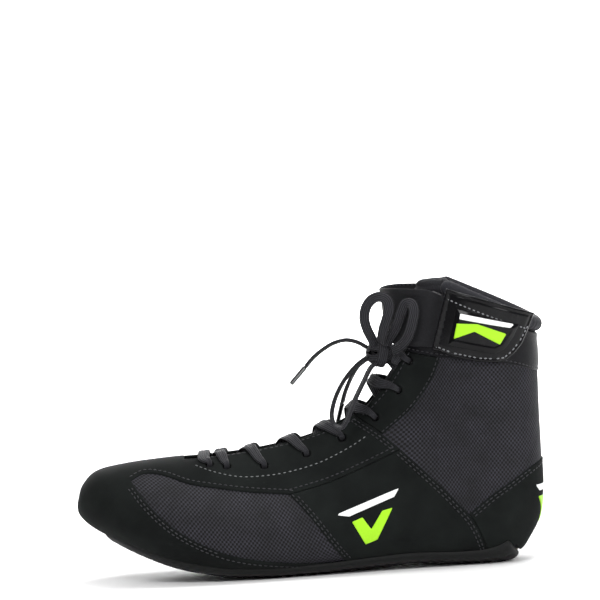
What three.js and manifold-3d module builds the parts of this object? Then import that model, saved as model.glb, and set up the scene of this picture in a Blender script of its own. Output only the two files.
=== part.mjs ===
// A left boxing boot, ankle high: a padded lining shaped on a last, stitched panels over it, a thin
// rubber sole, a tongue under a laced throat, a shoe lace tied in a bow, and a hook-and-loop strap.
// Millimetres. X runs from toe (-) to heel (+), Y from the outer side (-) to the inner side (+), and Z
// up from the floor.
import * as THREE from "three";
import { mergeVertices } from "three/addons/utils/BufferGeometryUtils.js";
import Module from "manifold-3d";

const wasm = await Module();
wasm.setup();

// ---------------------------------------------------------------- driving dimensions
const BOOT_LENGTH = 296; // toe tip to the back of the rolled collar
const BOOT_HEIGHT = 178; // floor to the front corner of the collar
const BALL_WIDTH = 97; // across the ball of the foot, outside
const GAP = 0.3; // air between pieces that touch

const LINING = 2.6; // padded textile sock
const STIFFENER = 1.1; // heel counter and toe puff, in pockets of the lining
const PANEL = 1.3; // nubuck, mesh and synthetic leather panels
const OUTSOLE = 3.2; // rubber
const INSOLE = 3.3; // loose foam footbed
const TONGUE = 5; // padded tongue
const COLLAR_ROLL = 5; // radius of the padded roll round the collar
const THROAT = 9; // half the gap between the facings at its toe end
const THROAT_FLARE = 16; // how much wider that half gap is at the collar

const LACE_WIDTH = 7;
const LACE_THICK = 1.7;
const HOLE = 2.7; // radius of a punched lace hole
const HOLE_LACE = 3.2; // width of the lace where it is pinched in a hole

const HOOK_AND_LOOP = 0.8; // thickness of each half of the fastener
const STRAP = 1; // fabric band
const PATCH = 1.2; // patent end patch
const BADGE = 1.5; // moulded badge on the patch
const FILM = 0.4; // heat-pressed emblem film

// The outlines below are drawn for a boot of this size and stretched to the sizes above.
const DRAWN = { length: 296, height: 178, width: 97 };
const scaleX = BOOT_LENGTH / DRAWN.length;
const scaleZ = BOOT_HEIGHT / DRAWN.height;
const scaleY = BALL_WIDTH / DRAWN.width;

// ---------------------------------------------------------------- materials
const finish = (color, roughness, metalness = 0) =>
  new THREE.MeshStandardMaterial({ color, roughness, metalness });
const nubuck = finish("#2b2e2d", 0.9);
const mesh = finish("#35353a", 0.8);
const smoothLeather = finish("#38393c", 0.5);
const patent = finish("#08080a", 0.12);
const webbing = finish("#242327", 0.85);
const textile = finish("#1e1e20", 0.95);
const laceYarn = finish("#222225", 0.85);
const rubber = finish("#1c1d1d", 0.7);
const board = finish("#8a8172", 0.9);
const foam = finish("#2a2a2c", 0.95);
const white = finish("#eff0ea", 0.5);
const green = finish("#a4e03c", 0.5);

// ---------------------------------------------------------------- the last
// Side outline of the lining's outer face, one pair of points per station. Each station joins a point under
// the foot or up the heel (sole) to one on the ridge of the foot or the front of the ankle (ridge).
// outer and inner are half widths, drift moves the middle towards the big toe, and belly is how far up the
// station is widest. soleRound and ridgeRound are superellipse exponents: 2 is an ellipse and 4 nearly a box.
// Each row: sole, ridge, outer, inner, drift, belly, soleRound, ridgeRound.
const STATIONS = [
  [[-146.2, 48], [-146.2, 48], 0, 0, 6, 0.45, 2.2, 2.3],
  [[-144.8, 43.5], [-145.3, 53.5], 10, 10, 6, 0.45, 2.2, 2.3],
  [[-138, 37], [-142.5, 61], 20, 20, 6, 0.44, 2.3, 2.3],
  [[-125, 29], [-134, 68.5], 31, 29, 5, 0.42, 2.4, 2.3],
  [[-107, 20], [-116, 72], 39.5, 37, 4, 0.39, 2.7, 2.2],
  [[-85, 12], [-90, 74.2], 44.5, 43, 2, 0.36, 3, 2],
  [[-58, 6.4], [-62, 76], 46.6, 46, 0.5, 0.33, 3.2, 1.8],
  [[-28, 4.4], [-36, 79.5], 46.2, 43.5, 0, 0.32, 3.2, 1.65],
  [[2, 4.4], [-12, 85], 43.5, 39.5, 0, 0.31, 3, 1.6],
  [[32, 5.8], [6, 91.5], 40.5, 37, 0, 0.31, 2.9, 1.6],
  [[62, 6.8], [20, 99], 37.5, 36, 0, 0.32, 2.9, 1.65],
  [[92, 5], [30, 107], 35.5, 35.5, 0, 0.34, 2.9, 1.7],
  [[112, 4.3], [36, 114], 34.5, 35, 0, 0.38, 2.8, 1.8],
  [[125, 7.5], [40.5, 120], 34.5, 35, 0, 0.41, 2.7, 1.85],
  [[131.5, 15], [44.5, 126], 34.8, 35, 0, 0.43, 2.6, 1.9],
  [[137.5, 26], [49, 133], 35, 35.2, 0, 0.45, 2.5, 1.95],
  [[141, 44], [54, 141], 35.5, 35.8, 0, 0.47, 2.4, 2],
  [[141.4, 66], [59, 149], 36.4, 36.6, 0, 0.48, 2.3, 2],
  [[141.5, 92], [64, 157.5], 37.4, 37.6, 0, 0.49, 2.3, 2.1],
  [[142, 118], [69, 167], 38.5, 38.5, 0, 0.5, 2.2, 2.1],
  [[142.6, 141], [74, 175], 39.5, 39.5, 0, 0.5, 2.2, 2.1],
].map(([sole, ridge, outer, inner, drift, belly, soleRound, ridgeRound]) => (
  { sole, ridge, outer, inner, drift, belly, soleRound, ridgeRound }
));
const TOP = STATIONS.length - 1; // the station of the collar
const TIP_WIDTH = 14; // half width under which an offset fades out towards the toe tip

// One outline from the collar's front corner down to the toe tip, under the foot and up to the collar's back.
const OUTLINE = [
  ...STATIONS.map((s) => s.ridge).reverse(),
  ...STATIONS.slice(1).map((s) => s.sole),
].map(([x, z]) => [x * scaleX, z * scaleZ]);

// Value at a fractional place in a list, on a uniform Catmull-Rom spline.
function between(values, place) {
  const last = values.length - 1;
  const i = Math.max(0, Math.min(Math.floor(place), last - 1));
  const f = place - i;
  const [a, b, c, d] = [-1, 0, 1, 2].map((k) => values[Math.max(0, Math.min(last, i + k))]);
  const square = 2 * a - 5 * b + 4 * c - d;
  const cube = 3 * b - a - 3 * c + d;
  return 0.5 * (2 * b + (c - a) * f + square * f ** 2 + cube * f ** 3);
}

const OUTLINE_X = OUTLINE.map((p) => p[0]);
const OUTLINE_Z = OUTLINE.map((p) => p[1]);
const outlineAt = (place) => new THREE.Vector2(between(OUTLINE_X, place), between(OUTLINE_Z, place));

// A point of the side outline, moved outwards by offset.
function outline(place, offset) {
  const step = 0.02;
  const along = outlineAt(place + step).sub(outlineAt(place - step)).normalize();
  return outlineAt(place).add(new THREE.Vector2(along.y, -along.x).multiplyScalar(offset));
}

const column = (key) => STATIONS.map((s) => s[key]);
const COLUMNS = Object.fromEntries(
  ["outer", "inner", "drift", "belly", "soleRound", "ridgeRound"].map((key) => [key, column(key)]),
);

// Everything about the section at a station: its two ends, half widths and roundness.
function section(station, offset) {
  const value = (key) => between(COLUMNS[key], station);
  const widen = (half) => half * scaleY * (1 + offset / Math.max(half * scaleY, TIP_WIDTH));
  return {
    sole: outline(TOP + station, offset),
    ridge: outline(TOP - station, offset),
    outer: widen(value("outer")),
    inner: widen(value("inner")),
    drift: value("drift") * scaleY,
    belly: value("belly"),
    soleRound: value("soleRound"),
    ridgeRound: value("ridgeRound"),
  };
}

// A point of a section. side is -1 for the outer side of the foot and 1 for the inner, share is from 0 under
// the foot to 1 on the ridge, and half is 0 in the middle and 1 at the section's widest.
function sectionPoint(s, side, share, half) {
  const y = s.drift + side * (side < 0 ? s.outer : s.inner) * half;
  return new THREE.Vector3(
    s.sole.x + (s.ridge.x - s.sole.x) * share,
    y,
    s.sole.y + (s.ridge.y - s.sole.y) * share,
  );
}

// The skin of the last by station and angle: 0 is under the foot, PI the ridge, and below PI the outer side.
function skin(station, angle, offset) {
  const s = section(station, offset);
  const cos = Math.cos(angle);
  const sin = Math.sin(angle);
  const power = 2 / (cos < 0 ? s.ridgeRound : s.soleRound);
  const reach = Math.abs(cos) ** power;
  const share = cos < 0 ? s.belly + (1 - s.belly) * reach : s.belly * (1 - reach);
  return sectionPoint(s, sin > 0 ? -1 : 1, share, Math.abs(sin) ** power);
}

// The skin near the ridge by station and distance from the middle, for what lies across the throat.
function overRidge(station, y, offset) {
  const s = section(station, offset);
  const half = Math.min(1, Math.abs(y) / (y < 0 ? s.outer : s.inner));
  const share = s.belly + (1 - s.belly) * (1 - half ** s.ridgeRound) ** (1 / s.ridgeRound);
  return sectionPoint(s, Math.sign(y) || 1, share, half);
}

// The station and skin point that show at a place of the side view. side is -1 outer, 1 inner.
function fromSide([x, z], side, offset) {
  const target = new THREE.Vector2(x * scaleX, z * scaleZ);
  const offLine = (station) => {
    const s = section(station, offset);
    return s.ridge.clone().sub(s.sole).cross(target.clone().sub(s.sole));
  };
  let low = 0.2;
  let high = TOP;
  for (let i = 0; i < 40; i++) {
    const middle = (low + high) / 2;
    if (offLine(middle) < 0) low = middle;
    else high = middle;
  }
  const s = section(low, offset);
  const span = s.ridge.clone().sub(s.sole);
  const share = target.clone().sub(s.sole).dot(span) / span.lengthSq();
  const below = share < s.belly;
  const run = below ? (s.belly - share) / s.belly : (share - s.belly) / (1 - s.belly);
  const round = below ? s.soleRound : s.ridgeRound;
  const half = Math.max(0, 1 - Math.min(1, Math.abs(run)) ** round) ** (1 / round);
  return { station: low, point: sectionPoint(s, side, share, half) };
}

// ---------------------------------------------------------------- solids
function geometryOf(positions, triangles) {
  const geometry = new THREE.BufferGeometry();
  const numbers = positions.flatMap((p) => p.toArray());
  geometry.setAttribute("position", new THREE.Float32BufferAttribute(numbers, 3));
  geometry.setIndex(triangles.flat());
  return geometry;
}

// A closed geometry as a manifold-3d solid, its faces turned to point out.
function solid(geometry) {
  const bare = geometry.clone();
  bare.deleteAttribute("normal");
  bare.deleteAttribute("uv");
  const merged = mergeVertices(bare, 1e-4);
  const vertProperties = merged.attributes.position.array;
  const make = (triVerts) => new wasm.Manifold(new wasm.Mesh({ numProp: 3, vertProperties, triVerts }));
  const index = new Uint32Array(merged.index.array);
  const made = make(index);
  return made.volume() > 0 ? made : make(index.reverse());
}

function geometryFrom(manifold) {
  const m = manifold.getMesh();
  const geometry = new THREE.BufferGeometry();
  const positions = new Float32Array(m.numVert * 3);
  for (let i = 0; i < m.numVert; i++) {
    positions.set(m.vertProperties.subarray(i * m.numProp, i * m.numProp + 3), i * 3);
  }
  geometry.setAttribute("position", new THREE.BufferAttribute(positions, 3));
  geometry.setIndex(new THREE.BufferAttribute(m.triVerts, 1));
  geometry.computeVertexNormals();
  return geometry;
}

// A solid through rings of points, closed at both ends.
function loft(rings) {
  const count = rings[0].length;
  const positions = rings.flat();
  const triangles = [];
  for (let k = 0; k + 1 < rings.length; k++) {
    for (let j = 0; j < count; j++) {
      const [a, b] = [k * count + j, k * count + ((j + 1) % count)];
      triangles.push([a, b, a + count], [b, b + count, a + count]);
    }
  }
  [0, rings.length - 1].forEach((k, end) => {
    const middle = rings[k].reduce((sum, p) => sum.clone().add(p), new THREE.Vector3()).divideScalar(count);
    positions.push(middle);
    for (let j = 0; j < count; j++) {
      const [a, b] = [k * count + j, k * count + ((j + 1) % count)];
      triangles.push(end ? [a, b, positions.length - 1] : [b, a, positions.length - 1]);
    }
  });
  return solid(geometryOf(positions, triangles));
}

// The layer between two offsets of the last, from the toe tip to a station, open at the top.
function layer(inside, outside, { to = TOP, rings = 26, around = 22 } = {}) {
  const positions = [];
  const triangles = [];
  const put = (point) => positions.push(point) - 1;
  const surface = [outside, inside].map((offset) => {
    const tip = put(skin(0, 0, offset));
    const rows = [];
    for (let k = 1; k <= rings; k++) {
      const row = [];
      for (let j = 0; j < around; j++) {
        row.push(put(skin((to * k) / rings, (2 * Math.PI * j) / around, offset)));
      }
      rows.push(row);
    }
    return { tip, rows };
  });
  surface.forEach(({ tip, rows }, which) => {
    const face = (a, b, c) => triangles.push(which ? [a, c, b] : [a, b, c]);
    for (let j = 0; j < around; j++) {
      const next = (j + 1) % around;
      face(tip, rows[0][j], rows[0][next]);
      for (let k = 0; k + 1 < rings; k++) {
        face(rows[k][j], rows[k + 1][j], rows[k][next]);
        face(rows[k][next], rows[k + 1][j], rows[k + 1][next]);
      }
    }
  });
  const [rim, bore] = surface.map(({ rows }) => rows[rings - 1]);
  for (let j = 0; j < around; j++) {
    const next = (j + 1) % around;
    triangles.push([rim[j], bore[j], rim[next]], [rim[next], bore[j], bore[next]]);
  }
  return solid(geometryOf(positions, triangles));
}

// A side-view outline pushed through the boot: both sides, or only the outer (-1) or inner (1) one.
const REACH = 2 * BALL_WIDTH;
function through(points, side = 0) {
  const shape = new THREE.Shape(points.map(([x, z]) => new THREE.Vector2(x * scaleX, z * scaleZ)));
  const geometry = new THREE.ExtrudeGeometry(shape, { depth: side ? REACH : 2 * REACH, bevelEnabled: false });
  geometry.rotateX(Math.PI / 2);
  geometry.translate(0, side < 0 ? -GAP / 2 : side > 0 ? REACH + GAP / 2 : REACH, 0);
  return solid(geometry);
}

// An outline point list with its curved edges filled in by a spline, n steps per edge.
const curve = (points, n) =>
  new THREE.SplineCurve(points.map(([x, z]) => new THREE.Vector2(x, z))).getPoints(n).map((p) => [p.x, p.y]);

// Moves a polyline sideways, to its left when away is positive.
function shifted(points, away) {
  return points.map(([x, z], i) => {
    const [ax, az] = points[Math.max(0, i - 1)];
    const [bx, bz] = points[Math.min(points.length - 1, i + 1)];
    const length = Math.hypot(bx - ax, bz - az);
    return [x - ((bz - az) / length) * away, z + ((bx - ax) / length) * away];
  });
}

// ---------------------------------------------------------------- the assembly
const boot = new THREE.Group();
function add(name, body, material) {
  const made = new THREE.Mesh(geometryFrom(body), material);
  made.name = name;
  boot.add(made);
  return made;
}

// ---------------------------------------------------------------- cutters
const UNDER = -40; // a height well below the boot
const OVER = 260; // and one well above it
const BEHIND = 200;
const BEFORE = -200;

// The throat: an opening along the ridge from the vamp to the collar that widens upwards.
const THROAT_START = 5.4; // station of its toe end
function throatHalf(station) {
  const climbed = Math.max(0, (station - THROAT_START) / (TOP - THROAT_START));
  return THROAT + THROAT_FLARE * climbed ** 1.6;
}
function throat() {
  const rings = [];
  const steps = 16;
  for (let i = 0; i <= steps; i++) {
    const station = THROAT_START + ((TOP - THROAT_START) * i) / steps;
    const s = section(Math.min(station, TOP), 0);
    const half = i ? throatHalf(station) : THROAT * 0.6;
    const inward = s.sole.clone().sub(s.ridge).normalize();
    const beyond = i === steps ? 30 : 0;
    const corner = (y, depth) => {
      const place = s.ridge.clone().addScaledVector(inward, depth);
      return new THREE.Vector3(place.x + beyond * 0.44, y, place.y + beyond * 0.9);
    };
    rings.push([corner(-half, 24), corner(half, 24), corner(half, -26), corner(-half, -26)]);
  }
  return loft(rings);
}

// The lower fifth of the boot in side view, so that what is cut from below stops short of the upper's top.
const lowerFifth = () =>
  through([
    [BEFORE, UNDER],
    [BEFORE, 47],
    ...STATIONS.slice(0, 17).map(({ sole, ridge }) => sole.map((low, k) => low + (ridge[k] - low) * 0.2)),
    [BEHIND, UNDER],
  ]);

// A prism straight down through the sole: the boot's plan between two stations, drawn in by inset.
function underfoot(from, to, inset) {
  const steps = 16;
  const edge = (side) =>
    Array.from({ length: steps + 1 }, (_, i) => {
      const f = i / steps;
      const s = section(from + (to - from) * f, 0);
      const half = (side < 0 ? s.outer : s.inner) - inset;
      const towards = (share) => (1 - (1 - Math.min(1, share)) ** 2.2) ** 0.5;
      const round = Math.min(towards(f * 5.5), towards((1 - f) * 7));
      return [s.sole.x, s.drift + side * Math.max(1.5, half * round)];
    });
  const plan = [...edge(-1), ...edge(1).reverse()];
  const shape = new THREE.Shape(plan.map(([x, y]) => new THREE.Vector2(x, y)));
  const geometry = new THREE.ExtrudeGeometry(shape, { depth: 100 - UNDER, bevelEnabled: false });
  geometry.translate(0, 0, UNDER);
  return solid(geometry).intersect(lowerFifth());
}

// Lace holes, seen from the side, from the toe up.
const HOLES = [
  [-64, 70.5], [-53, 69], [-30, 68.5], [-3.4, 74.2], [19.5, 82.8], [40.8, 94.6], [56.1, 111.2], [64.1, 129],
];
// A place near the throat, at a level above the last's skin, with the way that it faces.
function placeAt(station, y, level) {
  const step = 0.05;
  const base = overRidge(station, y, 0);
  const upwards = overRidge(station + step, y, 0).sub(overRidge(station - step, y, 0));
  const sideways = overRidge(station, y + 0.5, 0).sub(overRidge(station, y - 0.5, 0));
  const faces = upwards.cross(sideways).normalize();
  if (faces.z < 0) faces.negate();
  return { point: base.addScaledVector(faces, level), faces };
}

// Where a hole's middle is: its station and its distance from the boot's middle.
function holeAt(row, side) {
  const { station, point } = fromSide(HOLES[row], side, 0);
  return { station, y: point.y };
}
function holePunch(row, side) {
  const { station, y } = holeAt(row, side);
  const [inside, outside] = [-LINING - 5, PANEL + 5].map((level) => placeAt(station, y, level).point);
  const along = outside.clone().sub(inside);
  const geometry = new THREE.CylinderGeometry(HOLE, HOLE, along.length(), 8);
  const turn = new THREE.Quaternion().setFromUnitVectors(new THREE.Vector3(0, 1, 0), along.normalize());
  geometry.applyQuaternion(turn);
  geometry.translate(...inside.add(outside).multiplyScalar(0.5).toArray());
  return solid(geometry);
}

const punches = [-1, 1].flatMap((side) => HOLES.map((_, row) => holePunch(row, side)));
const cutAll = (body, cutters) => cutters.reduce((left, cutter) => left.subtract(cutter), body);
const openThroat = throat();

// ---------------------------------------------------------------- seams, seen from the side
const COLLAR_SEAM = curve([
  [40, 141], [60, 135.5], [82.8, 131], [101.4, 128.6], [120, 125.6], [132.2, 121.8], [152, 112],
], 9);
const ANKLE_SEAM = curve([
  [14, 110], [24.8, 98.7], [44.5, 84.4], [72.3, 57.8], [86.9, 42], [97, 29], [103.5, 13],
  [109, -14],
], 11);
const FACING_SEAM = curve([[82.8, 131], [77.1, 118], [63.6, 100.1], [44.5, 84.4]], 5);
const HEEL_SEAM = curve([[95.5, 32], [108.7, 41.9], [121.7, 49.9], [134.6, 57.8], [152, 66]], 5);
const WINDOW_TOP = curve([
  [-112.5, 62], [-105, 65.3], [-92.6, 64], [-77.3, 58.7], [-58.8, 55.1], [-40.3, 52.1],
  [-15.5, 49.4],
], 7);
const WINDOW_BACK = curve([[-15.5, 49.4], [-3.9, 35.6], [7.6, 19.3], [16.8, 6.5]], 4);
const WINDOW_FOOT = curve([
  [16.8, 6.5], [-18.1, 9], [-48.9, 14.5], [-70.2, 23], [-88.1, 34.4], [-102.8, 49], [-112.5, 62],
], 9);
const QUARTER_TOP = curve([[-15.5, 49.4], [9.8, 55.3], [32.1, 63.4], [58, 74]], 4);

const closeTo = (edge, ...corners) => [...edge, ...corners];
const edgeGap = GAP / 2;

// Regions of the side view. Each stops half a gap short of its seams.
const ankleSide = closeTo(shifted(ANKLE_SEAM, edgeGap), [BEHIND, UNDER], [BEHIND, OVER], [14, OVER]);
const footSide = closeTo(shifted(ANKLE_SEAM, -edgeGap), [BEFORE, UNDER], [BEFORE, OVER], [14, OVER]);
const aboveCollarSeam = closeTo(shifted(COLLAR_SEAM, edgeGap), [BEHIND, OVER], [40, OVER]);
const belowCollarSeam = closeTo(shifted(COLLAR_SEAM, -edgeGap), [BEHIND, UNDER], [40, UNDER]);
const belowHeelSeam = closeTo(shifted(HEEL_SEAM, -edgeGap), [BEHIND, UNDER], [90, UNDER]);
const aboveHeelSeam = closeTo([[0, 20]], ...shifted(HEEL_SEAM, edgeGap), [BEHIND, OVER], [0, OVER]);
const beforeFacingSeam = closeTo(shifted(FACING_SEAM, -edgeGap), [44, 60], [10, 60], [10, OVER], [82.8, OVER]);
const behindFacingSeam = closeTo(
  shifted(FACING_SEAM, edgeGap), [44.5, UNDER], [BEHIND, UNDER], [BEHIND, OVER], [82.8, OVER],
);
const window = [...WINDOW_TOP, ...WINDOW_BACK.slice(1), ...WINDOW_FOOT.slice(1, -1)];
const quarter = [...QUARTER_TOP, [120, 60], [120, UNDER], [17.5, UNDER], ...WINDOW_BACK.slice(1).reverse()];

// Grows or shrinks a closed outline that runs clockwise.
function grown(points, away) {
  return points.map(([x, z], i) => {
    const [ax, az] = points[(i + points.length - 1) % points.length];
    const [bx, bz] = points[(i + 1) % points.length];
    const length = Math.hypot(bx - ax, bz - az);
    return [x - ((bz - az) / length) * away, z + ((bx - ax) / length) * away];
  });
}

// ---------------------------------------------------------------- sole and inside
const aboveFloor = through([[BEFORE, 0], [BEHIND, 0], [BEHIND, OVER], [BEFORE, OVER]]);
const panelOut = GAP + PANEL;
const BOARD_INSET = 14; // how far the panels turn in under the foot, to the lasting board
const soleLayer = layer(panelOut + GAP, panelOut + GAP + OUTSOLE);
add("outsole", soleLayer.intersect(underfoot(1.7, 13.2, 5)).intersect(aboveFloor), rubber);
add("lasting_board", layer(GAP, panelOut).intersect(underfoot(2.5, 13, BOARD_INSET)), board);
add("insole", layer(-LINING - GAP - INSOLE, -LINING - GAP).intersect(underfoot(2.2, 13.3, 4)), foam);

const puffOutline = [[BEFORE, UNDER], [-116, UNDER], [-112, 40], [-116, OVER], [BEFORE, OVER]];
const counterOutline = [[92, 8], [98, 30], [112, 44], [BEHIND, 58], [BEHIND, 8]];
const pocketed = (outlinePoints) => layer(-STIFFENER, 0).intersect(through(outlinePoints));
const pocket = (outlinePoints) => layer(-STIFFENER - GAP, GAP).intersect(through(outlinePoints));
const puffInside = [[BEFORE, UNDER], [-116.3, UNDER], [-112.3, 40], [-116.3, OVER], [BEFORE, OVER]];
const counterInside = [[92.4, 8.3], [98.3, 29.8], [112.2, 43.6], [BEHIND, 57.6], [BEHIND, 8.3]];
add("toe_puff", pocketed(puffInside), board);
add("heel_counter", pocketed(counterInside), board);
const liningCuts = [pocket(puffOutline), pocket(counterOutline), openThroat, ...punches];
add("lining", cutAll(layer(-LINING, 0), liningCuts), textile);

// ---------------------------------------------------------------- outer panels
const boardRoom = underfoot(2.5 - 0.03, 13 + 0.06, BOARD_INSET - GAP);
const upper = cutAll(layer(GAP, panelOut), [boardRoom, openThroat, ...punches]);
const onAnkle = upper.intersect(through(ankleSide));
const onFoot = upper.intersect(through(footSide));
const sides = [["outer", -1], ["inner", 1]];

const windows = through(grown(window, edgeGap));
const quarters = through(grown(quarter, edgeGap));
add("toe_and_vamp", onFoot.subtract(windows).subtract(quarters), nubuck);
for (const [name, side] of sides) {
  add("toe_mesh_" + name, onFoot.intersect(through(grown(window, -edgeGap), side)), mesh);
  add("quarter_" + name, onFoot.intersect(through(grown(quarter, -edgeGap), side)), nubuck);
  const lower = onAnkle.intersect(through(belowCollarSeam, side));
  add("ankle_facing_" + name, lower.intersect(through(beforeFacingSeam, side)), nubuck);
  const meshSide = lower.intersect(through(behindFacingSeam, side));
  add("ankle_mesh_" + name, meshSide.intersect(through(aboveHeelSeam)), mesh);
}
add("heel_wrap", onAnkle.intersect(through(belowHeelSeam)), nubuck);
add("collar_cuff", onAnkle.intersect(through(aboveCollarSeam)), smoothLeather);

// ---------------------------------------------------------------- collar roll and tongue
const ROLL_STEPS = 18;
function collarRoll() {
  const half = throatHalf(TOP) + 2.5;
  const s = section(TOP, 0);
  const up = s.ridge.clone().sub(s.sole).normalize();
  const rise = COLLAR_ROLL + GAP + 0.5;
  const middle = (PANEL - LINING) / 2;
  const away = Math.asin((half / s.outer) ** (s.ridgeRound / 2));
  const path = Array.from({ length: ROLL_STEPS + 1 }, (_, i) => {
    const angle = Math.PI - away - 2 * (Math.PI - away) * (i / ROLL_STEPS);
    const point = skin(TOP, angle, middle);
    return new THREE.Vector3(point.x + up.y * rise, point.y, point.z - up.x * rise);
  });
  const circle = new THREE.Path().absarc(0, 0, COLLAR_ROLL, 0, 2 * Math.PI);
  const ring = new THREE.Shape(circle.getSpacedPoints(10).slice(0, -1));
  const extrudePath = new THREE.CatmullRomCurve3(path);
  return solid(new THREE.ExtrudeGeometry(ring, { steps: 30, extrudePath, bevelEnabled: false }));
}
add("collar_roll", collarRoll(), textile);

// The tongue bulges forwards above the instep, more towards its top.
const TONGUE_TOP = 20.9; // station of its free end, above the collar's front corner
const TONGUE_ROOT = 4.6; // station of its sewn end, under the vamp
const TONGUE_BULGE = 13;
const tongueHalf = (station) => throatHalf(Math.min(station, TOP)) + 6;
const tongueSwell = (station, y) => {
  const rise = THREE.MathUtils.smoothstep(station, 16, TONGUE_TOP);
  return TONGUE_BULGE * rise * Math.max(0, 1 - (y / (tongueHalf(station) - 9)) ** 2);
};
const TONGUE_DROP = 3.6; // from the lining down to the tongue, not counting the crossing lace
const TONGUE_LEVEL = -LINING - LACE_THICK - TONGUE_DROP; // its outer face

// A band across the throat: rings of points from side to side at each station.
function acrossThroat([from, to], half, [inside, outside], swell, steps, across) {
  const rings = [];
  for (let i = 0; i <= steps; i++) {
    const station = from + ((to - from) * i) / steps;
    const row = (level) =>
      Array.from({ length: across + 1 }, (_, j) => {
        const y = half(station, i / steps) * ((2 * j) / across - 1);
        const { point } = placeAt(station, y, level);
        return point.setX(point.x - swell(station, y));
      });
    rings.push([...row(outside), ...row(inside).reverse()]);
  }
  return loft(rings);
}
function roundedEnds(station, f) {
  const fromTip = Math.min(1, (1 - f) * 14 + 0.3);
  return tongueHalf(station) * (1 - (1 - fromTip) ** 2) ** 0.5;
}
const tongueLevels = [TONGUE_LEVEL - TONGUE, TONGUE_LEVEL];
add("tongue", acrossThroat([TONGUE_ROOT, TONGUE_TOP], roundedEnds, tongueLevels, tongueSwell, 22, 12), textile);

// ---------------------------------------------------------------- lace
// A flat ribbon through stops, each with a point, the way it faces, a width and a thickness.
function ribbon(stops, steps) {
  const smooth = (vectors) => new THREE.CatmullRomCurve3(vectors, false, "centripetal");
  const path = smooth(stops.map((stop) => stop.point));
  const faces = smooth(stops.map((stop) => stop.faces));
  const rings = [];
  for (let i = 0; i <= steps; i++) {
    const t = i / steps;
    const at = t * (stops.length - 1);
    const before = stops[Math.min(Math.floor(at), stops.length - 2)];
    const after = stops[Math.min(Math.floor(at), stops.length - 2) + 1];
    const f = at - Math.min(Math.floor(at), stops.length - 2);
    const halfOf = (key) => (before[key] + (after[key] - before[key]) * f) / 2;
    const width = halfOf("width");
    const thick = halfOf("thick");
    const along = path.getTangent(t);
    const across = along.clone().cross(faces.getPoint(t)).normalize();
    const up = across.clone().cross(along).normalize();
    const middle = path.getPoint(t);
    rings.push(
      [[1, 0], [0.75, 1], [-0.75, 1], [-1, 0], [-0.75, -1], [0.75, -1]].map(([a, b]) =>
        middle.clone().addScaledVector(across, a * width).addScaledVector(up, b * thick),
      ),
    );
  }
  return loft(rings);
}

const LACE_AIR = GAP + 0.6; // clearance of the lace over the panels and under the lining
const OVER_PANELS = panelOut + LACE_AIR + LACE_THICK / 2;
const LACE_DROP = 1.1; // how much lower the lace hangs where it crosses under the lining
const UNDER_LINING = -LINING - LACE_AIR - LACE_THICK / 2 - LACE_DROP;

function stopAt(station, y, level, width = LACE_WIDTH) {
  return { ...placeAt(station, y, level), width, thick: LACE_THICK };
}

// The three stops where the lace turns through a hole, from outside to inside.
function turnThrough(station, y) {
  const bend = y - Math.sign(y) * 1; // the bends keep clear of the hole's far edge
  const [over, under] = [OVER_PANELS, UNDER_LINING].map((level) => stopAt(station, bend, level, HOLE_LACE));
  const outwards = over.faces.clone();
  const sideways = new THREE.Vector3(0, Math.sign(y), 0);
  sideways.addScaledVector(outwards, -sideways.dot(outwards)).normalize();
  over.faces.addScaledVector(sideways, 0.7);
  under.faces = outwards.clone().negate().addScaledVector(sideways, 0.7);
  const middle = stopAt(station, y, (PANEL - LINING) / 2, HOLE_LACE);
  middle.faces = sideways;
  return [over, middle, under];
}
const reversed = (stops) => stops.map((stop) => ({ ...stop, faces: stop.faces.clone() })).reverse();

// A point drawn for the boot's own size, moved with the overall sizes.
const drawn = ([x, y, z]) => new THREE.Vector3(x * scaleX, y * scaleY, z * scaleZ);
const KNOT = drawn([46, -9, 134.5]);
const KNOT_SIZE = new THREE.Vector3(6.5, 7, 5.2); // its radii

// The laced run: from the top hole of one side down to the bar at the toe end, and up the other side.
const CROSSING = LACE_THICK / 2 + GAP;
function lastHop(here, next, side) {
  const middle = (here.station + next.station) / 2;
  const half = throatHalf(middle) + 1;
  return [
    stopAt(here.station + 0.1, here.y - side * (HOLE + 1.5), UNDER_LINING, HOLE_LACE + 1),
    stopAt(middle - 0.25, side * half, UNDER_LINING),
    stopAt(middle, 0, UNDER_LINING + 1 + CROSSING + side * CROSSING),
    stopAt(middle + 0.25, -side * half, UNDER_LINING),
    stopAt(next.station - 0.1, next.y + side * (HOLE + 1.5), UNDER_LINING, HOLE_LACE + 1),
  ];
}
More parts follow.
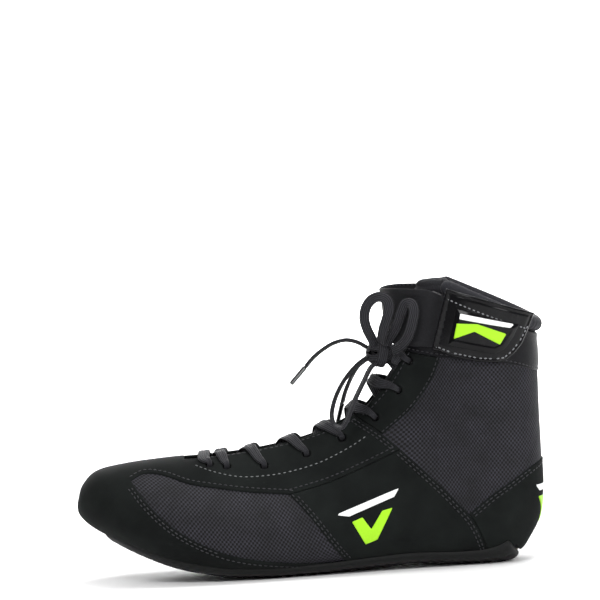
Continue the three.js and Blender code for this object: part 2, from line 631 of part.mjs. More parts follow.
// Out of the top hole and over the facing's edge to the knot.
function toKnot(hole, side) {
  const atKnot = KNOT.y + side * (KNOT_SIZE.y + 1.5);
  return [
    stopAt(hole.station - 0.05, hole.y - side * (HOLE + 1.5), OVER_PANELS, HOLE_LACE + 1.2),
    stopAt(hole.station - 0.35, side * (throatHalf(hole.station) - 1), OVER_PANELS + 0.6),
    stopAt(hole.station - 0.7, atKnot, OVER_PANELS + 1.6, LACE_WIDTH * 0.7),
  ];
}
function climb(first) {
  const stops = [];
  let side = first;
  let facing = 1; // which face of the ribbon is up, as it turns over at each hole
  const put = (list, sign) => {
    const turned = list.map((stop) => ({ ...stop, faces: stop.faces.multiplyScalar(sign) }));
    stops.push(...turned);
  };
  for (let row = 0; row + 1 < HOLES.length; row++) {
    const here = holeAt(row, side);
    const next = holeAt(row + 1, -side);
    const rise = next.station - here.station;
    const at = (share) => here.station + rise * share;
    const half = throatHalf(at(0.5));
    put(turnThrough(here.station, here.y), facing);
    facing = -facing;
    if (row + 2 === HOLES.length) {
      put(lastHop(here, next, side), facing);
      put(reversed(turnThrough(next.station, next.y)), -facing);
      put(toKnot(next, -side), -facing);
      break;
    }
    const across = [
      stopAt(at(0.1), here.y - side * (HOLE + 1.5), UNDER_LINING, HOLE_LACE + 1),
      stopAt(at(0.28), side * (half + 1), UNDER_LINING),
      stopAt(at(0.5), 0, (OVER_PANELS + UNDER_LINING) / 2 + side * CROSSING),
      stopAt(at(0.7), -side * (half - 1), OVER_PANELS + 0.6),
      stopAt(at(0.9), next.y + side * (HOLE + 1.5), OVER_PANELS, HOLE_LACE + 1.2),
    ];
    put(across, facing);
    side = -side;
  }
  return stops;
}
function lacedRun() {
  const outer = holeAt(0, -1);
  const bar = [-1, 0, 1].map((side) =>
    stopAt(outer.station - 0.1, side ? side * (Math.abs(outer.y) - HOLE - 1.5) : 0, OVER_PANELS + 0.2));
  return [...reversed(climb(-1)), ...bar, ...climb(1)];
}
const run = lacedRun();
add("lace_run", ribbon(run, Math.round(run.length * 1.6)), laceYarn);

// ---------------------------------------------------------------- knot, bow and lace ends
// Routes are chosen by hand: the bow stands in front of the strap, and its big loop and one end hang over
// the instep.
const knot = new THREE.SphereGeometry(1, 14, 9);
knot.scale(...KNOT_SIZE.toArray());
knot.translate(...KNOT.toArray());
add("lace_knot", solid(knot), laceYarn);

const ROUTES = {
  bow_loop_front: [
    [43, -15.6, 139.8], [40.5, -19, 145.5], [38, -22, 152], [37.2, -24.5, 158.5],
    [39, -26.5, 164.8], [43, -28, 169.2],
    [47.6, -29.3, 170.3], [51.6, -30.6, 168.2], [52.8, -31, 163], [51, -30, 157],
    [48.8, -27.5, 151], [47.4, -23, 145.5], [46.6, -18.6, 141.4],
  ],
  bow_loop_back: [
    [50.2, -16.8, 139.3], [52.2, -21.3, 144], [55.4, -26, 149], [58, -30.2, 154.5],
    [60.2, -33, 160.5], [63, -35, 165.5],
    [66.4, -36.6, 165.5], [67.8, -37.4, 160.6], [66.6, -36.8, 155], [65, -36, 149.5],
    [62.5, -33, 144], [58.6, -29, 139.6], [53.6, -22.6, 136.6],
  ],
  bow_loop_hanging: [
    [38, -12.5, 132.6], [31.5, -15.5, 128.5], [24.5, -19, 121.8], [18.8, -22.8, 113.8],
    [15, -26.2, 105.5], [13.5, -29, 98],
    [15.2, -31.6, 92.6], [19.4, -33.6, 91.6], [22.8, -33.4, 96.2], [26, -31.6, 103.2],
    [30, -28.2, 110.6], [34.4, -23.6, 118],
    [38.4, -18.6, 124.6], [41.4, -15, 128],
  ],
  lace_end_front: [
    [38.4, -5, 137.6], [32.4, -3, 141.2], [25.6, -2, 143], [18, -3, 141.8], [11, -5.5, 138.5],
    [4.5, -9, 134], [-1, -13, 128.6],
  ],
  lace_end_hanging: [
    [38.8, -6, 130.6], [36, 0, 129], [31.5, 6.5, 125], [28, 12.5, 119.6], [25, 17.5, 113.6],
    [22.5, 21.5, 107.4],
    [20.8, 25, 101.6],
  ],
};
const AGLET_LENGTH = 15;
const AGLET_RADIUS = 1.6;
function freeLace(points) {
  const extrudePath = new THREE.CatmullRomCurve3(points.map(drawn), false, "centripetal");
  const ring = [[1, 0], [0.8, 1], [-0.8, 1], [-1, 0], [-0.8, -1], [0.8, -1]];
  const half = [LACE_THICK / 2, LACE_WIDTH / 2];
  const shape = new THREE.Shape(ring.map(([a, b]) => new THREE.Vector2(a * half[0], b * half[1])));
  return solid(new THREE.ExtrudeGeometry(shape, { steps: points.length + 2, extrudePath, bevelEnabled: false }));
}
for (const [name, points] of Object.entries(ROUTES)) {
  add(name, freeLace(points), laceYarn);
  if (!name.startsWith("lace_end")) continue;
  const tip = drawn(points.at(-1));
  const along = tip.clone().sub(drawn(points.at(-2))).normalize();
  const aglet = new THREE.CylinderGeometry(AGLET_RADIUS * 0.85, AGLET_RADIUS, AGLET_LENGTH, 10);
  aglet.applyQuaternion(new THREE.Quaternion().setFromUnitVectors(new THREE.Vector3(0, 1, 0), along));
  aglet.translate(...tip.addScaledVector(along, GAP + AGLET_LENGTH / 2).toArray());
  add(name.replace("lace_end", "aglet"), solid(aglet), patent);
}

// ---------------------------------------------------------------- ankle strap
// The band is sewn to the inner side of the cuff, runs forwards over the tongue and back to the outer side.
const CUFF_OUT = panelOut + GAP;
const STRAP_SEWN = 112; // where the band starts, on the inner side
const STRAP_AIR = 0.4; // the band lies this far off the cuff
const STRAP_FOLD = 86; // where its end can be pulled open, on the outer side
// The band's two edges in front of the cuff: [x, how far from the middle, z].
const STRAP_FRONT = {
  low: [[66, 27, 138.6], [58, 19.5, 139.6], [52, 11, 140.6], [49.6, 0, 141]],
  high: [[79, 34, 172.6], [67, 30, 174.2], [55.5, 20.5, 174.6], [49, 0, 174]],
};
function strapEdge(which, level) {
  const z = which === "low" ? 138 : 171.6;
  const onCuff = (x, side) => fromSide([x, z], side, CUFF_OUT + level).point;
  const outwards = (p) => p.add(new THREE.Vector3(-level, p.y ? level : 0, 0));
  const front = STRAP_FRONT[which].map((place) => outwards(drawn(place)));
  const outer = front.slice(0, -1).reverse().map((p) => p.clone().setY(-p.y));
  const lean = which === "low" ? -3.5 : 3.5;
  return new THREE.CatmullRomCurve3([
    ...[STRAP_SEWN, 103, 94, 85 + lean * 1.6].map((x) => onCuff(x, 1)),
    ...front,
    ...outer,
    onCuff(STRAP_FOLD - 5 + lean * 1.5, -1),
    onCuff(STRAP_FOLD - 1 + lean * 1.5, -1),
  ]);
}
function strapBand() {
  const steps = 34;
  const [near, far] = [STRAP_AIR, STRAP_AIR + STRAP];
  const corners = [["low", near], ["high", near], ["high", far], ["low", far]];
  const edges = corners.map(([which, level]) => strapEdge(which, level).getSpacedPoints(steps));
  return loft(Array.from({ length: steps + 1 }, (_, i) => edges.map((edge) => edge[i])));
}
add("strap_band", strapBand(), webbing);

// Pieces cut from layers over the outer side of the cuff, from the cuff outwards.
const PATCH_OUTLINE = [
  [87.5, 169.8], [77.4, 136.7], [89.5, 131.6], [104.9, 127.6], [116, 126.4], [122.3, 127], [128, 131],
  [133.5, 137], [143.1, 152.1],
];
const BADGE_OUTLINE = [[94, 161], [87.4, 138.6], [116, 131.6], [122.4, 134.4], [128, 141.4], [132, 148.6]];
const PAD_OUTLINE = [[95.5, 161], [90, 141], [114, 135.6], [124, 141], [129, 148]];
const layers = {};
let level = CUFF_OUT;
const stack = { loop: HOOK_AND_LOOP, hook: HOOK_AND_LOOP, patch: PATCH, badge: BADGE, badgeFilm: FILM };
for (const [name, thickness] of Object.entries(stack)) {
  layers[name] = layer(level, level + thickness);
  level += thickness + GAP;
}
const cutOut = (name, points, side = -1) => layers[name].intersect(through(points, side));
add("strap_loop_pad", cutOut("loop", PAD_OUTLINE), textile);
add("strap_hook_pad", cutOut("hook", PAD_OUTLINE), textile);
add("strap_patch", cutOut("patch", PATCH_OUTLINE), patent);
add("strap_badge", cutOut("badge", BADGE_OUTLINE), patent);
const BADGE_BAR = [[96, 158], [95, 154.6], [126, 147.2], [128.6, 149.4]];
const BADGE_CHEVRON = [[93.4, 152], [91, 142.6], [104, 146.4], [119, 137.4], [123.4, 143.8], [106, 151]];
add("badge_bar", cutOut("badgeFilm", BADGE_BAR), white);
add("badge_chevron", cutOut("badgeFilm", BADGE_CHEVRON), green);

// ---------------------------------------------------------------- emblems
const FILM_IN = panelOut + GAP;
const film = layer(FILM_IN, FILM_IN + FILM, { to: 18 });
const BAR = [[12.1, 35.9], [20.4, 34.4], [49, 44.6], [52.2, 49.7]];
const CHEVRON = [[22, 31], [29.6, 16.4], [37, 19], [47.6, 38], [41, 36.6], [33.6, 25.6], [28.6, 33.4]];
for (const [name, side] of sides) {
  add("emblem_bar_" + name, film.intersect(through(BAR, side)), white);
  add("emblem_chevron_" + name, film.intersect(through(CHEVRON, side)), green);
}
// The heel emblem is cut from behind: outlines are [y, z] here.
function fromBehind(points) {
  const shape = new THREE.Shape(points.map(([y, z]) => new THREE.Vector2(y * scaleY, z * scaleZ)));
  const geometry = new THREE.ExtrudeGeometry(shape, { depth: BEHIND - 90, bevelEnabled: false });
  geometry.rotateX(Math.PI / 2);
  geometry.rotateZ(Math.PI / 2);
  geometry.translate(90, 0, 0);
  return solid(geometry);
}
const HEEL_BAR = [[-22, 47.5], [22, 47.5], [17, 43.5], [-17, 43.5]];
const HEEL_CHEVRON = [[-18, 40], [-9, 40], [0, 31], [9, 40], [18, 40], [0, 22.5]];
add("heel_bar", film.intersect(fromBehind(HEEL_BAR)), white);
add("heel_chevron", film.intersect(fromBehind(HEEL_CHEVRON)), green);

export default boot;
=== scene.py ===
import math
import bpy
import numpy as np
from mathutils import Matrix, Vector


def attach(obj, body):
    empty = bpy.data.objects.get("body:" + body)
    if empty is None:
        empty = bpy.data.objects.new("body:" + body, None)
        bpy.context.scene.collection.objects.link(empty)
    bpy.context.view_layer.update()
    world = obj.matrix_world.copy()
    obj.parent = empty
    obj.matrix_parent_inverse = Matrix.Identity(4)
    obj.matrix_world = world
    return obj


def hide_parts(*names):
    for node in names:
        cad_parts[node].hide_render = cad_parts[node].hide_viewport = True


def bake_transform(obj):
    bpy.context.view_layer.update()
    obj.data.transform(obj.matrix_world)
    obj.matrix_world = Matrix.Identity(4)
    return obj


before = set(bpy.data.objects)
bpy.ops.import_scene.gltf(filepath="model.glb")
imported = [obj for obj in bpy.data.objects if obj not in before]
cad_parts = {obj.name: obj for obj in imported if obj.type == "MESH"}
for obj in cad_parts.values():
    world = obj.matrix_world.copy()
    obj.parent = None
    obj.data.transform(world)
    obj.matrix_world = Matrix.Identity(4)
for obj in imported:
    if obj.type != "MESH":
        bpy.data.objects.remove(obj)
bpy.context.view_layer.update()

# ------------------------------------------------------------------ camera
# A long lens square to the boot's outer side, a little above it and rolled, so that the heel sits higher than
# the toe.
MM = 0.001
VIEW_WIDTH = 0.3734
VIEW_CENTRE = Vector((-0.0018, 0.0, 0.1695))
VIEW_DISTANCE = 3.2
VIEW_ELEVATION = math.radians(3.5)
VIEW_ROLL = math.radians(3.43)
camera_data = bpy.data.cameras.new("camera")
camera_data.sensor_width = 36
camera_data.lens = camera_data.sensor_width * VIEW_DISTANCE / VIEW_WIDTH
camera_data.clip_end = 50
camera = bpy.data.objects.new("camera", camera_data)
bpy.context.collection.objects.link(camera)
looking = Vector((0, math.cos(VIEW_ELEVATION), -math.sin(VIEW_ELEVATION)))
camera.location = VIEW_CENTRE - looking * VIEW_DISTANCE
level_up = Vector((0, math.sin(VIEW_ELEVATION), math.cos(VIEW_ELEVATION)))
image_up = level_up * math.cos(VIEW_ROLL) + Vector((1, 0, 0)) * math.sin(VIEW_ROLL)
image_right = looking.cross(image_up)
turned = np.array([image_right, image_up, -looking]).T
camera.rotation_mode = "QUATERNION"
camera.rotation_quaternion = Matrix(turned.tolist()).to_quaternion()
bpy.context.scene.camera = camera

# ------------------------------------------------------------------ braided lace: the bow and the free ends
# A flat polyester shoe lace, tubular braid pressed flat. It shows as fine diagonal ribs with a dull sheen.
# The bow's loops and the two free ends leave the knot; heat-shrunk film aglets close the ends.


def linear(hex_code):
    """An sRGB hex colour as a linear RGBA."""
    channels = [int(hex_code.lstrip("#")[i:i + 2], 16) / 255 for i in (0, 2, 4)]
    return [c / 12.92 if c <= 0.04045 else ((c + 0.055) / 1.055) ** 2.4 for c in channels] + [1.0]


def node(tree, kind, settings=None, inputs=None):
    """Adds a node, sets its properties, and fills its inputs with values or links."""
    made = tree.nodes.new(kind)
    for name, value in (settings or {}).items():
        setattr(made, name, value)
    for name, value in (inputs or {}).items():
        socket = made.inputs[name]
        if isinstance(value, bpy.types.NodeSocket):
            tree.links.new(value, socket)
        else:
            socket.default_value = value
    return made


def new_material(name):
    """A material with an empty tree but for its output, and the Principled shader to fill in."""
    material = bpy.data.materials.new(name)
    material.use_nodes = True
    tree = material.node_tree
    tree.nodes.clear()
    shader = node(tree, "ShaderNodeBsdfPrincipled")
    output = node(tree, "ShaderNodeOutputMaterial")
    tree.links.new(shader.outputs[0], output.inputs[0])
    return material, tree, shader


def coloured(tree, shader, share, dark, light):
    """Mixes two colours by a share and paints the surface with the result."""
    mix = node(tree, "ShaderNodeMix", {"data_type": "RGBA"}, {0: share, 6: linear(dark), 7: linear(light)})
    tree.links.new(mix.outputs[2], shader.inputs["Base Color"])


def bumped(tree, shader, height, strength, distance):
    """Roughens the surface by a height, without moving it. distance is in metres."""
    bump = node(tree, "ShaderNodeBump", inputs={"Strength": strength, "Distance": distance, "Height": height})
    tree.links.new(bump.outputs[0], shader.inputs["Normal"])


def set_values(shader, values):
    """Sets plain numbers on a shader."""
    for name, value in values.items():
        shader.inputs[name].default_value = value


def noise(tree, scale, detail, roughness=0.5):
    """Cloudy noise in the object's own space."""
    coords = node(tree, "ShaderNodeTexCoord")
    place = coords.outputs["Object"]
    return node(tree, "ShaderNodeTexNoise",
                inputs={"Vector": place, "Scale": scale, "Detail": detail, "Roughness": roughness})


def maths(tree, operation, *values):
    """A sum worked out in the shader, from links or numbers."""
    return node(tree, "ShaderNodeMath", {"operation": operation}, dict(enumerate(values))).outputs[0]


def lace_material():
    # Braided polyester: six cords side by side along the ribbon, with the plaited strands slanting across
    # each.
    material, tree, shader = new_material("braided polyester lace")
    uv = node(tree, "ShaderNodeUVMap", {"uv_map": "mm"})
    parts = node(tree, "ShaderNodeSeparateXYZ", inputs={0: uv.outputs[0]})
    lane = maths(tree, "MULTIPLY", parts.outputs["X"], 2 * math.pi / LACE_CORD)
    lanes = maths(tree, "COSINE", lane)
    slant = maths(tree, "MULTIPLY_ADD", parts.outputs["X"], 0.9, parts.outputs["Y"])
    strand = maths(tree, "MULTIPLY", slant, 2 * math.pi / 0.8)
    strands = maths(tree, "SINE", strand)
    both = maths(tree, "MULTIPLY_ADD", strands, 0.3, lanes)
    ramp = node(tree, "ShaderNodeMapRange", {"interpolation_type": "SMOOTHSTEP"}, {0: both, 1: -1.1, 2: 0.9})
    coloured(tree, shader, ramp.outputs[0], "#050506", "#2b2b30")
    bumped(tree, shader, ramp.outputs[0], 0.8, 0.0003)
    set_values(shader, {"Roughness": 0.68, "Specular IOR Level": 0.2,
                        "Sheen Weight": 0.08, "Sheen Roughness": 0.5})
    return material


LACE_CORD = 1.25
LACE_WIDTH = 7.0
LACE_THICK = 1.7
lace_finish = lace_material()


def new_object(name, points, faces, material, uvs=None):
    """A mesh object from points in millimetres, with one UV per point, also in millimetres."""
    mesh = bpy.data.meshes.new(name)
    mesh.from_pydata((np.asarray(points) * MM).tolist(), [], [list(f) for f in faces])
    if uvs is not None:
        layer = mesh.uv_layers.new(name="mm")
        corner = np.empty(len(mesh.loops), dtype=np.int32)
        mesh.loops.foreach_get("vertex_index", corner)
        layer.data.foreach_set("uv", np.asarray(uvs, dtype=np.float32)[corner].ravel())
    mesh.materials.append(material)
    mesh.polygons.foreach_set("use_smooth", [True] * len(mesh.polygons))
    mesh.update()
    made = bpy.data.objects.new(name, mesh)
    bpy.context.collection.objects.link(made)
    return made


def spline(points, count):
    """Evenly spaced points on a centripetal Catmull-Rom curve. Columns after the third ride along with the
    first."""
    p = np.asarray(points, float)
    p = np.concatenate([[2 * p[0] - p[1]], p, [2 * p[-1] - p[-2]]])
    out = []
    for i in range(1, len(p) - 2):
        knots = [0.0]
        for k in range(3):
            knots.append(knots[-1] + max(np.linalg.norm((p[i + k] - p[i + k - 1])[:3]), 1e-9) ** 0.5)
        t = np.linspace(knots[1], knots[2], 24, endpoint=False)[:, None]
        a = [(knots[k + 1] - t) / (knots[k + 1] - knots[k]) * p[i - 1 + k]
             + (t - knots[k]) / (knots[k + 1] - knots[k]) * p[i + k] for k in range(3)]
        b = [(knots[k + 2] - t) / (knots[k + 2] - knots[k]) * a[k]
             + (t - knots[k]) / (knots[k + 2] - knots[k]) * a[k + 1] for k in range(2)]
        out.append((knots[2] - t) / (knots[2] - knots[1]) * b[0]
                   + (t - knots[1]) / (knots[2] - knots[1]) * b[1])
    dense = np.concatenate(out + [p[-2][None]])
    run = run_length(dense)
    at = np.linspace(0, run[-1], count)
    return np.stack([np.interp(at, run, dense[:, k]) for k in range(dense.shape[1])], axis=1)


def run_length(points):
    """The length along a line of points up to each of them."""
    steps = np.linalg.norm(np.diff(np.asarray(points)[:, :3], axis=0), axis=1)
    return np.concatenate([[0], np.cumsum(steps)])


def unit(v):
    return v / np.maximum(np.linalg.norm(v, axis=-1, keepdims=True), 1e-12)


RIBBON_SIDES = 30


def ribbon_mesh(path, faces_way, widths, thicks):
    """Points, faces and UVs of a flat braided ribbon along a path, ribbed lengthwise and closed at
    both ends."""
    path = np.asarray(path, float)
    along = unit(np.gradient(path, axis=0))
    across = unit(np.cross(along, faces_way))
    up = np.cross(across, along)
    angle = np.linspace(0, 2 * np.pi, RIBBON_SIDES, endpoint=False)
    wide = np.sign(np.cos(angle)) * np.abs(np.cos(angle)) ** 0.8
    tall = np.sign(np.sin(angle)) * np.abs(np.sin(angle)) ** 0.5
    widths = np.broadcast_to(widths, len(path))[:, None]
    thicks = np.broadcast_to(thicks, len(path))[:, None]
    run = run_length(path)[:, None]
    from_middle = wide * LACE_WIDTH / 2
    cords = 1 + 0.16 * (np.cos(2 * np.pi * from_middle / LACE_CORD) - 1)
    plait = 1 + 0.03 * np.sin(2 * np.pi * (run + 0.9 * from_middle) / 1.6)
    points = (path[:, None] + across[:, None] * (wide * widths / 2)[..., None]
              + up[:, None] * (tall * cords * plait * thicks / 2)[..., None])
    uvs = np.stack([np.broadcast_to(from_middle, points.shape[:2]), np.broadcast_to(run, points.shape[:2])],
                   axis=2)
    number = np.arange(len(path) * RIBBON_SIDES).reshape(len(path), RIBBON_SIDES)
    turned = np.roll(number, -1, axis=1)
    faces = np.stack([number[:-1], number[1:], turned[1:], turned[:-1]], -1).reshape(-1, 4).tolist()
    faces += [number[0].tolist(), number[-1, ::-1].tolist()]
    return points.reshape(-1, 3), faces, uvs.reshape(-1, 2)


def joined(parts):
    """Several (points, faces, uvs) as one."""
    points, faces, uvs, start = [], [], [], 0
    for part_points, part_faces, part_uvs in parts:
        points.append(part_points)
        uvs.append(part_uvs)
        faces += [[i + start for i in face] for face in part_faces]
        start += len(part_points)
    return np.concatenate(points), faces, np.concatenate(uvs)


KNOT = np.array([46, -9, 134.5])
# The routes of the free lace, from the knot outwards.
ROUTES = {
    "bow_loop_front": [
        (43, -15.6, 139.8), (40.5, -19, 145.5), (38, -22, 152), (37.2, -24.5, 158.5), (39, -26.5, 164.8),
        (43, -28, 169.2), (47.6, -29.3, 170.3), (51.6, -30.6, 168.2), (52.8, -31, 163), (51, -30, 157),
        (48.8, -27.5, 151), (47.4, -23, 145.5), (46.6, -18.6, 141.4),
    ],
    "bow_loop_back": [
        (50.2, -16.8, 139.3), (52.2, -21.3, 144), (55.4, -26, 149), (58, -30.2, 154.5), (60.2, -33, 160.5),
        (63, -35, 165.5), (66.4, -36.6, 165.5), (67.8, -37.4, 160.6), (66.6, -36.8, 155), (65, -36, 149.5),
        (62.5, -33, 144), (58.6, -29, 139.6), (53.6, -22.6, 136.6),
    ],
    "bow_loop_hanging": [
        (38, -12.5, 132.6), (31.5, -15.5, 128.5), (24.5, -19, 121.8), (18.8, -22.8, 113.8),
        (15, -26.2, 105.5),
        (13.5, -29, 98), (15.2, -31.6, 92.6), (19.4, -33.6, 91.6), (22.8, -33.4, 96.2), (26, -31.6, 103.2),
        (30, -28.2, 110.6), (34.4, -23.6, 118), (38.4, -18.6, 124.6), (41.4, -15, 128),
    ],
    "lace_end_front": [
        (38.4, -5, 137.6), (32.4, -3, 141.2), (25.6, -2, 143), (18, -3, 141.8), (11, -5.5, 138.5),
        (4.5, -9, 134), (-1, -13, 128.6),
    ],
    "lace_end_hanging": [
        (38.8, -6, 130.6), (36, 0, 129), (31.5, 6.5, 125), (28, 12.5, 119.6), (25, 17.5, 113.6),
        (22.5, 21.5, 107.4), (20.8, 25, 101.6),
    ],
}
AGLET_LENGTH = 15.0
AGLET_SIDES = 20
AGLET_RINGS = 16
EDGE_ON = ("bow_loop_hanging", "lace_end_front", "lace_end_hanging")  # these twist side-on as they fall


def aglet_material():
    # Clear-coated acetate film shrunk round the braid: glossy, with the braid showing faintly through.
    material, tree, shader = new_material("acetate aglet")
    wave = noise(tree, 900.0, 3.0)
    coloured(tree, shader, wave.outputs[0], "#0a0a0b", "#1d1d20")
    bumped(tree, shader, wave.outputs[0], 0.3, 0.0001)
    set_values(shader, {"Roughness": 0.22, "Coat Weight": 0.6})
    return material


aglet_finish = aglet_material()
for name, route in ROUTES.items():
    count = 12 * len(route)
    path = spline(route, count)
    # a loop faces away from the boot's outer side; its flat turns a little as it goes
    turn = np.linspace(0, 1, count)[:, None]
    way = np.array([0.35, -1.0, 0.15]) * (1 - turn) + np.array([-0.3, -1.0, 0.3]) * turn
    if name in EDGE_ON:
        along = unit(np.gradient(path, axis=0))
        way = np.cross(along, [0, 1, 0]) - [0, 0.35, 0]
    points, faces, uvs = ribbon_mesh(path, way, LACE_WIDTH * 0.93, LACE_THICK)
    piece = new_object(name + "_braid", points, faces, lace_finish, uvs)
    tips = []
    if name.startswith("lace_end"):
        tip, direction = path[-1], unit(path[-1] - path[-3])
        steps = np.linspace(0, 1, AGLET_RINGS)
        line = tip + direction * (0.3 + steps[:, None] * (AGLET_LENGTH - 0.3))
        radius = np.where(steps < 0.06, 1.35, 1.55 - 0.12 * steps) * np.where(steps > 0.97, 0.86, 1.0)
        side = unit(np.cross(direction, [0, 0, 1]))
        other = np.cross(side, direction)
        ring = np.linspace(0, 2 * np.pi, AGLET_SIDES, endpoint=False)
        body = line[:, None] + radius[:, None, None] * (np.cos(ring)[None, :, None] * side
                                                        + np.sin(ring)[None, :, None] * other)
        number = np.arange(AGLET_RINGS * AGLET_SIDES).reshape(AGLET_RINGS, AGLET_SIDES)
        beside = np.roll(number, -1, axis=1)
        faces = np.stack([number[:-1], beside[:-1], beside[1:], number[1:]], -1).reshape(-1, 4).tolist()
        faces += [number[0, ::-1].tolist(), number[-1].tolist()]
        aglet_name = name.replace("lace_end", "aglet")
        aglet = new_object(aglet_name + "_film", body.reshape(-1, 3), faces, aglet_finish)
        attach(aglet, "boot")
        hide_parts(aglet_name)
        tips.append(aglet)
    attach(piece, "boot")
    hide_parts(name)
    ends = {"far_end": "fitting", "with_pieces": tips} if tips else {"far_end": "knot"}

# ------------------------------------------------------------------ the last
# Every panel lies on one surface, the outer face of the padded lining as it sits on the last. It is a fan of
# closed sections from the toe tip, under the foot and up the heel, each widest a third to a half of the way
# up. Each row: sole point (x, z), ridge point (x, z), outer and inner half width, drift, belly, roundness
# below and above.
STATIONS = np.array([
    (-146.2, 48, -146.2, 48, 0, 0, 6, 0.45, 2.2, 2.3),
    (-144.8, 43.5, -145.3, 53.5, 10, 10, 6, 0.45, 2.2, 2.3),
    (-138, 37, -142.5, 61, 20, 20, 6, 0.44, 2.3, 2.3),
    (-125, 29, -134, 68.5, 31, 29, 5, 0.42, 2.4, 2.3),
    (-107, 20, -116, 72, 39.5, 37, 4, 0.39, 2.7, 2.2),
    (-85, 12, -90, 74.2, 44.5, 43, 2, 0.36, 3, 2),
    (-58, 6.4, -62, 76, 46.6, 46, 0.5, 0.33, 3.2, 1.8),
    (-28, 4.4, -36, 79.5, 46.2, 43.5, 0, 0.32, 3.2, 1.65),
    (2, 4.4, -12, 85, 43.5, 39.5, 0, 0.31, 3, 1.6),
    (32, 5.8, 6, 91.5, 40.5, 37, 0, 0.31, 2.9, 1.6),
    (62, 6.8, 20, 99, 37.5, 36, 0, 0.32, 2.9, 1.65),
    (92, 5, 30, 107, 35.5, 35.5, 0, 0.34, 2.9, 1.7),
    (112, 4.3, 36, 114, 34.5, 35, 0, 0.38, 2.8, 1.8),
    (125, 7.5, 40.5, 120, 34.5, 35, 0, 0.41, 2.7, 1.85),
    (131.5, 15, 44.5, 126, 34.8, 35, 0, 0.43, 2.6, 1.9),
    (137.5, 26, 49, 133, 35, 35.2, 0, 0.45, 2.5, 1.95),
    (141, 44, 54, 141, 35.5, 35.8, 0, 0.47, 2.4, 2),
    (141.4, 66, 59, 149, 36.4, 36.6, 0, 0.48, 2.3, 2),
    (141.5, 92, 64, 157.5, 37.4, 37.6, 0, 0.49, 2.3, 2.1),
    (142, 118, 69, 167, 38.5, 38.5, 0, 0.5, 2.2, 2.1),
    (142.6, 141, 74, 175, 39.5, 39.5, 0, 0.5, 2.2, 2.1),
])
TOP = len(STATIONS) - 1


def between(values, place):
    """Values at fractional places in a list, on a uniform Catmull-Rom spline, and straight on past either
    end."""
    last = len(values) - 1
    beyond = np.asarray(place, float)
    place = np.clip(beyond, 0, last)
    i = np.clip(np.floor(place).astype(int), 0, last - 1)
    f = place - i
    a, b, c, d = (values[np.clip(i + k, 0, last)] for k in (-1, 0, 1, 2))
    curved = 0.5 * (2 * b + (c - a) * f + (2 * a - 5 * b + 4 * c - d) * f ** 2
                    + (3 * b - a - 3 * c + d) * f ** 3)
    past_end = np.maximum(beyond - last, 0) * (values[last] - values[last - 1])
    return curved + past_end + np.minimum(beyond, 0) * (values[1] - values[0])


outline_x = np.concatenate([STATIONS[::-1, 2], STATIONS[1:, 0]])
outline_z = np.concatenate([STATIONS[::-1, 3], STATIONS[1:, 1]])


def section(station):
    """The section at each station: sole and ridge points, half widths, drift, belly and roundness."""
    station = np.asarray(station, float)
    sole = np.stack([between(outline_x, TOP + station), between(outline_z, TOP + station)], -1)
    ridge = np.stack([between(outline_x, TOP - station), between(outline_z, TOP - station)], -1)
    return [sole, ridge] + [between(STATIONS[:, k], station) for k in range(4, 10)]


def last_point(station, side, share, half):
    """A point of a section: share is its height from sole to ridge, and half its share of the half width."""
    sole, ridge, outer, inner, drift = section(station)[:5]
    xz = sole + (ridge - sole) * np.asarray(share)[..., None]
    y = drift + side * np.where(side < 0, outer, inner) * half
    return np.stack([xz[..., 0], y, xz[..., 1]], -1)


def share_up(data, sole, ridge):
    """How far up its section each vertex row lies: 0 at the sole point and 1 at the ridge."""
    return ((data[:, [0, 2]] - sole) * (ridge - sole)).sum(-1) / ((ridge - sole) ** 2).sum(-1)


def over_ridge(station, y):
    """Points over the last's ridge, y to the side of its middle."""
    outer, inner = section(station)[2:4]
    belly, _, above = section(station)[5:]
    half = np.minimum(1, np.abs(y) / np.where(np.asarray(y) < 0, outer, inner))
    share = belly + (1 - belly) * (1 - half ** above) ** (1 / above)
    return last_point(station, np.where(np.asarray(y) < 0, -1, 1), share, half)


SECTION_STEPS = 721


def half_section(station, side, samples):
    """One side of a section from the sole to the ridge, evenly spaced by length."""
    belly, below, above = section(station)[5:]
    angle = np.linspace(0, np.pi, SECTION_STEPS)
    cos, sin = np.cos(angle), np.sin(angle)
    power = np.where(cos < 0, 2 / above, 2 / below)
    reach = np.abs(cos) ** power
    share = np.where(cos < 0, belly + (1 - belly) * reach, belly * (1 - reach))
    points = last_point(np.full(SECTION_STEPS, station), np.full(SECTION_STEPS, side), share, sin ** power)
    run = np.concatenate([[0], np.cumsum(np.linalg.norm(np.diff(points, axis=0), axis=1))])
    at = np.linspace(0, run[-1], samples)
    return np.stack([np.interp(at, run, points[:, k]) for k in range(3)], -1), at


def last_grid(from_station, to_station, rows, side, columns):
    """Points, outward normals and UVs in millimetres over one side of the last."""
    places = np.linspace(from_station, to_station, 4 * rows)
    sole, ridge = section(places)[:2]
    middle = (sole + ridge) / 2
    speed = np.concatenate([[0], np.cumsum(0.5 * np.linalg.norm(np.diff(middle, axis=0), axis=1)
                                           + 0.5 * np.linalg.norm(np.diff(sole, axis=0), axis=1))])
    stations = np.interp(np.linspace(0, speed[-1], rows), speed, places)
    halves = [half_section(s, side, columns) for s in stations]
    points = np.array([h[0] for h in halves])
    around = np.array([h[1] for h in halves])
    normals = unit(np.cross(np.gradient(points, axis=1), np.gradient(points, axis=0)))
    normals *= side
    run = np.linspace(0, speed[-1], rows)
    uvs = np.stack([np.repeat(run[:, None], columns, 1), around - around[:, -1:] / 2], -1)
    return {"points": points, "normals": normals, "uvs": uvs,
            "stations": np.repeat(stations[:, None], columns, 1)}


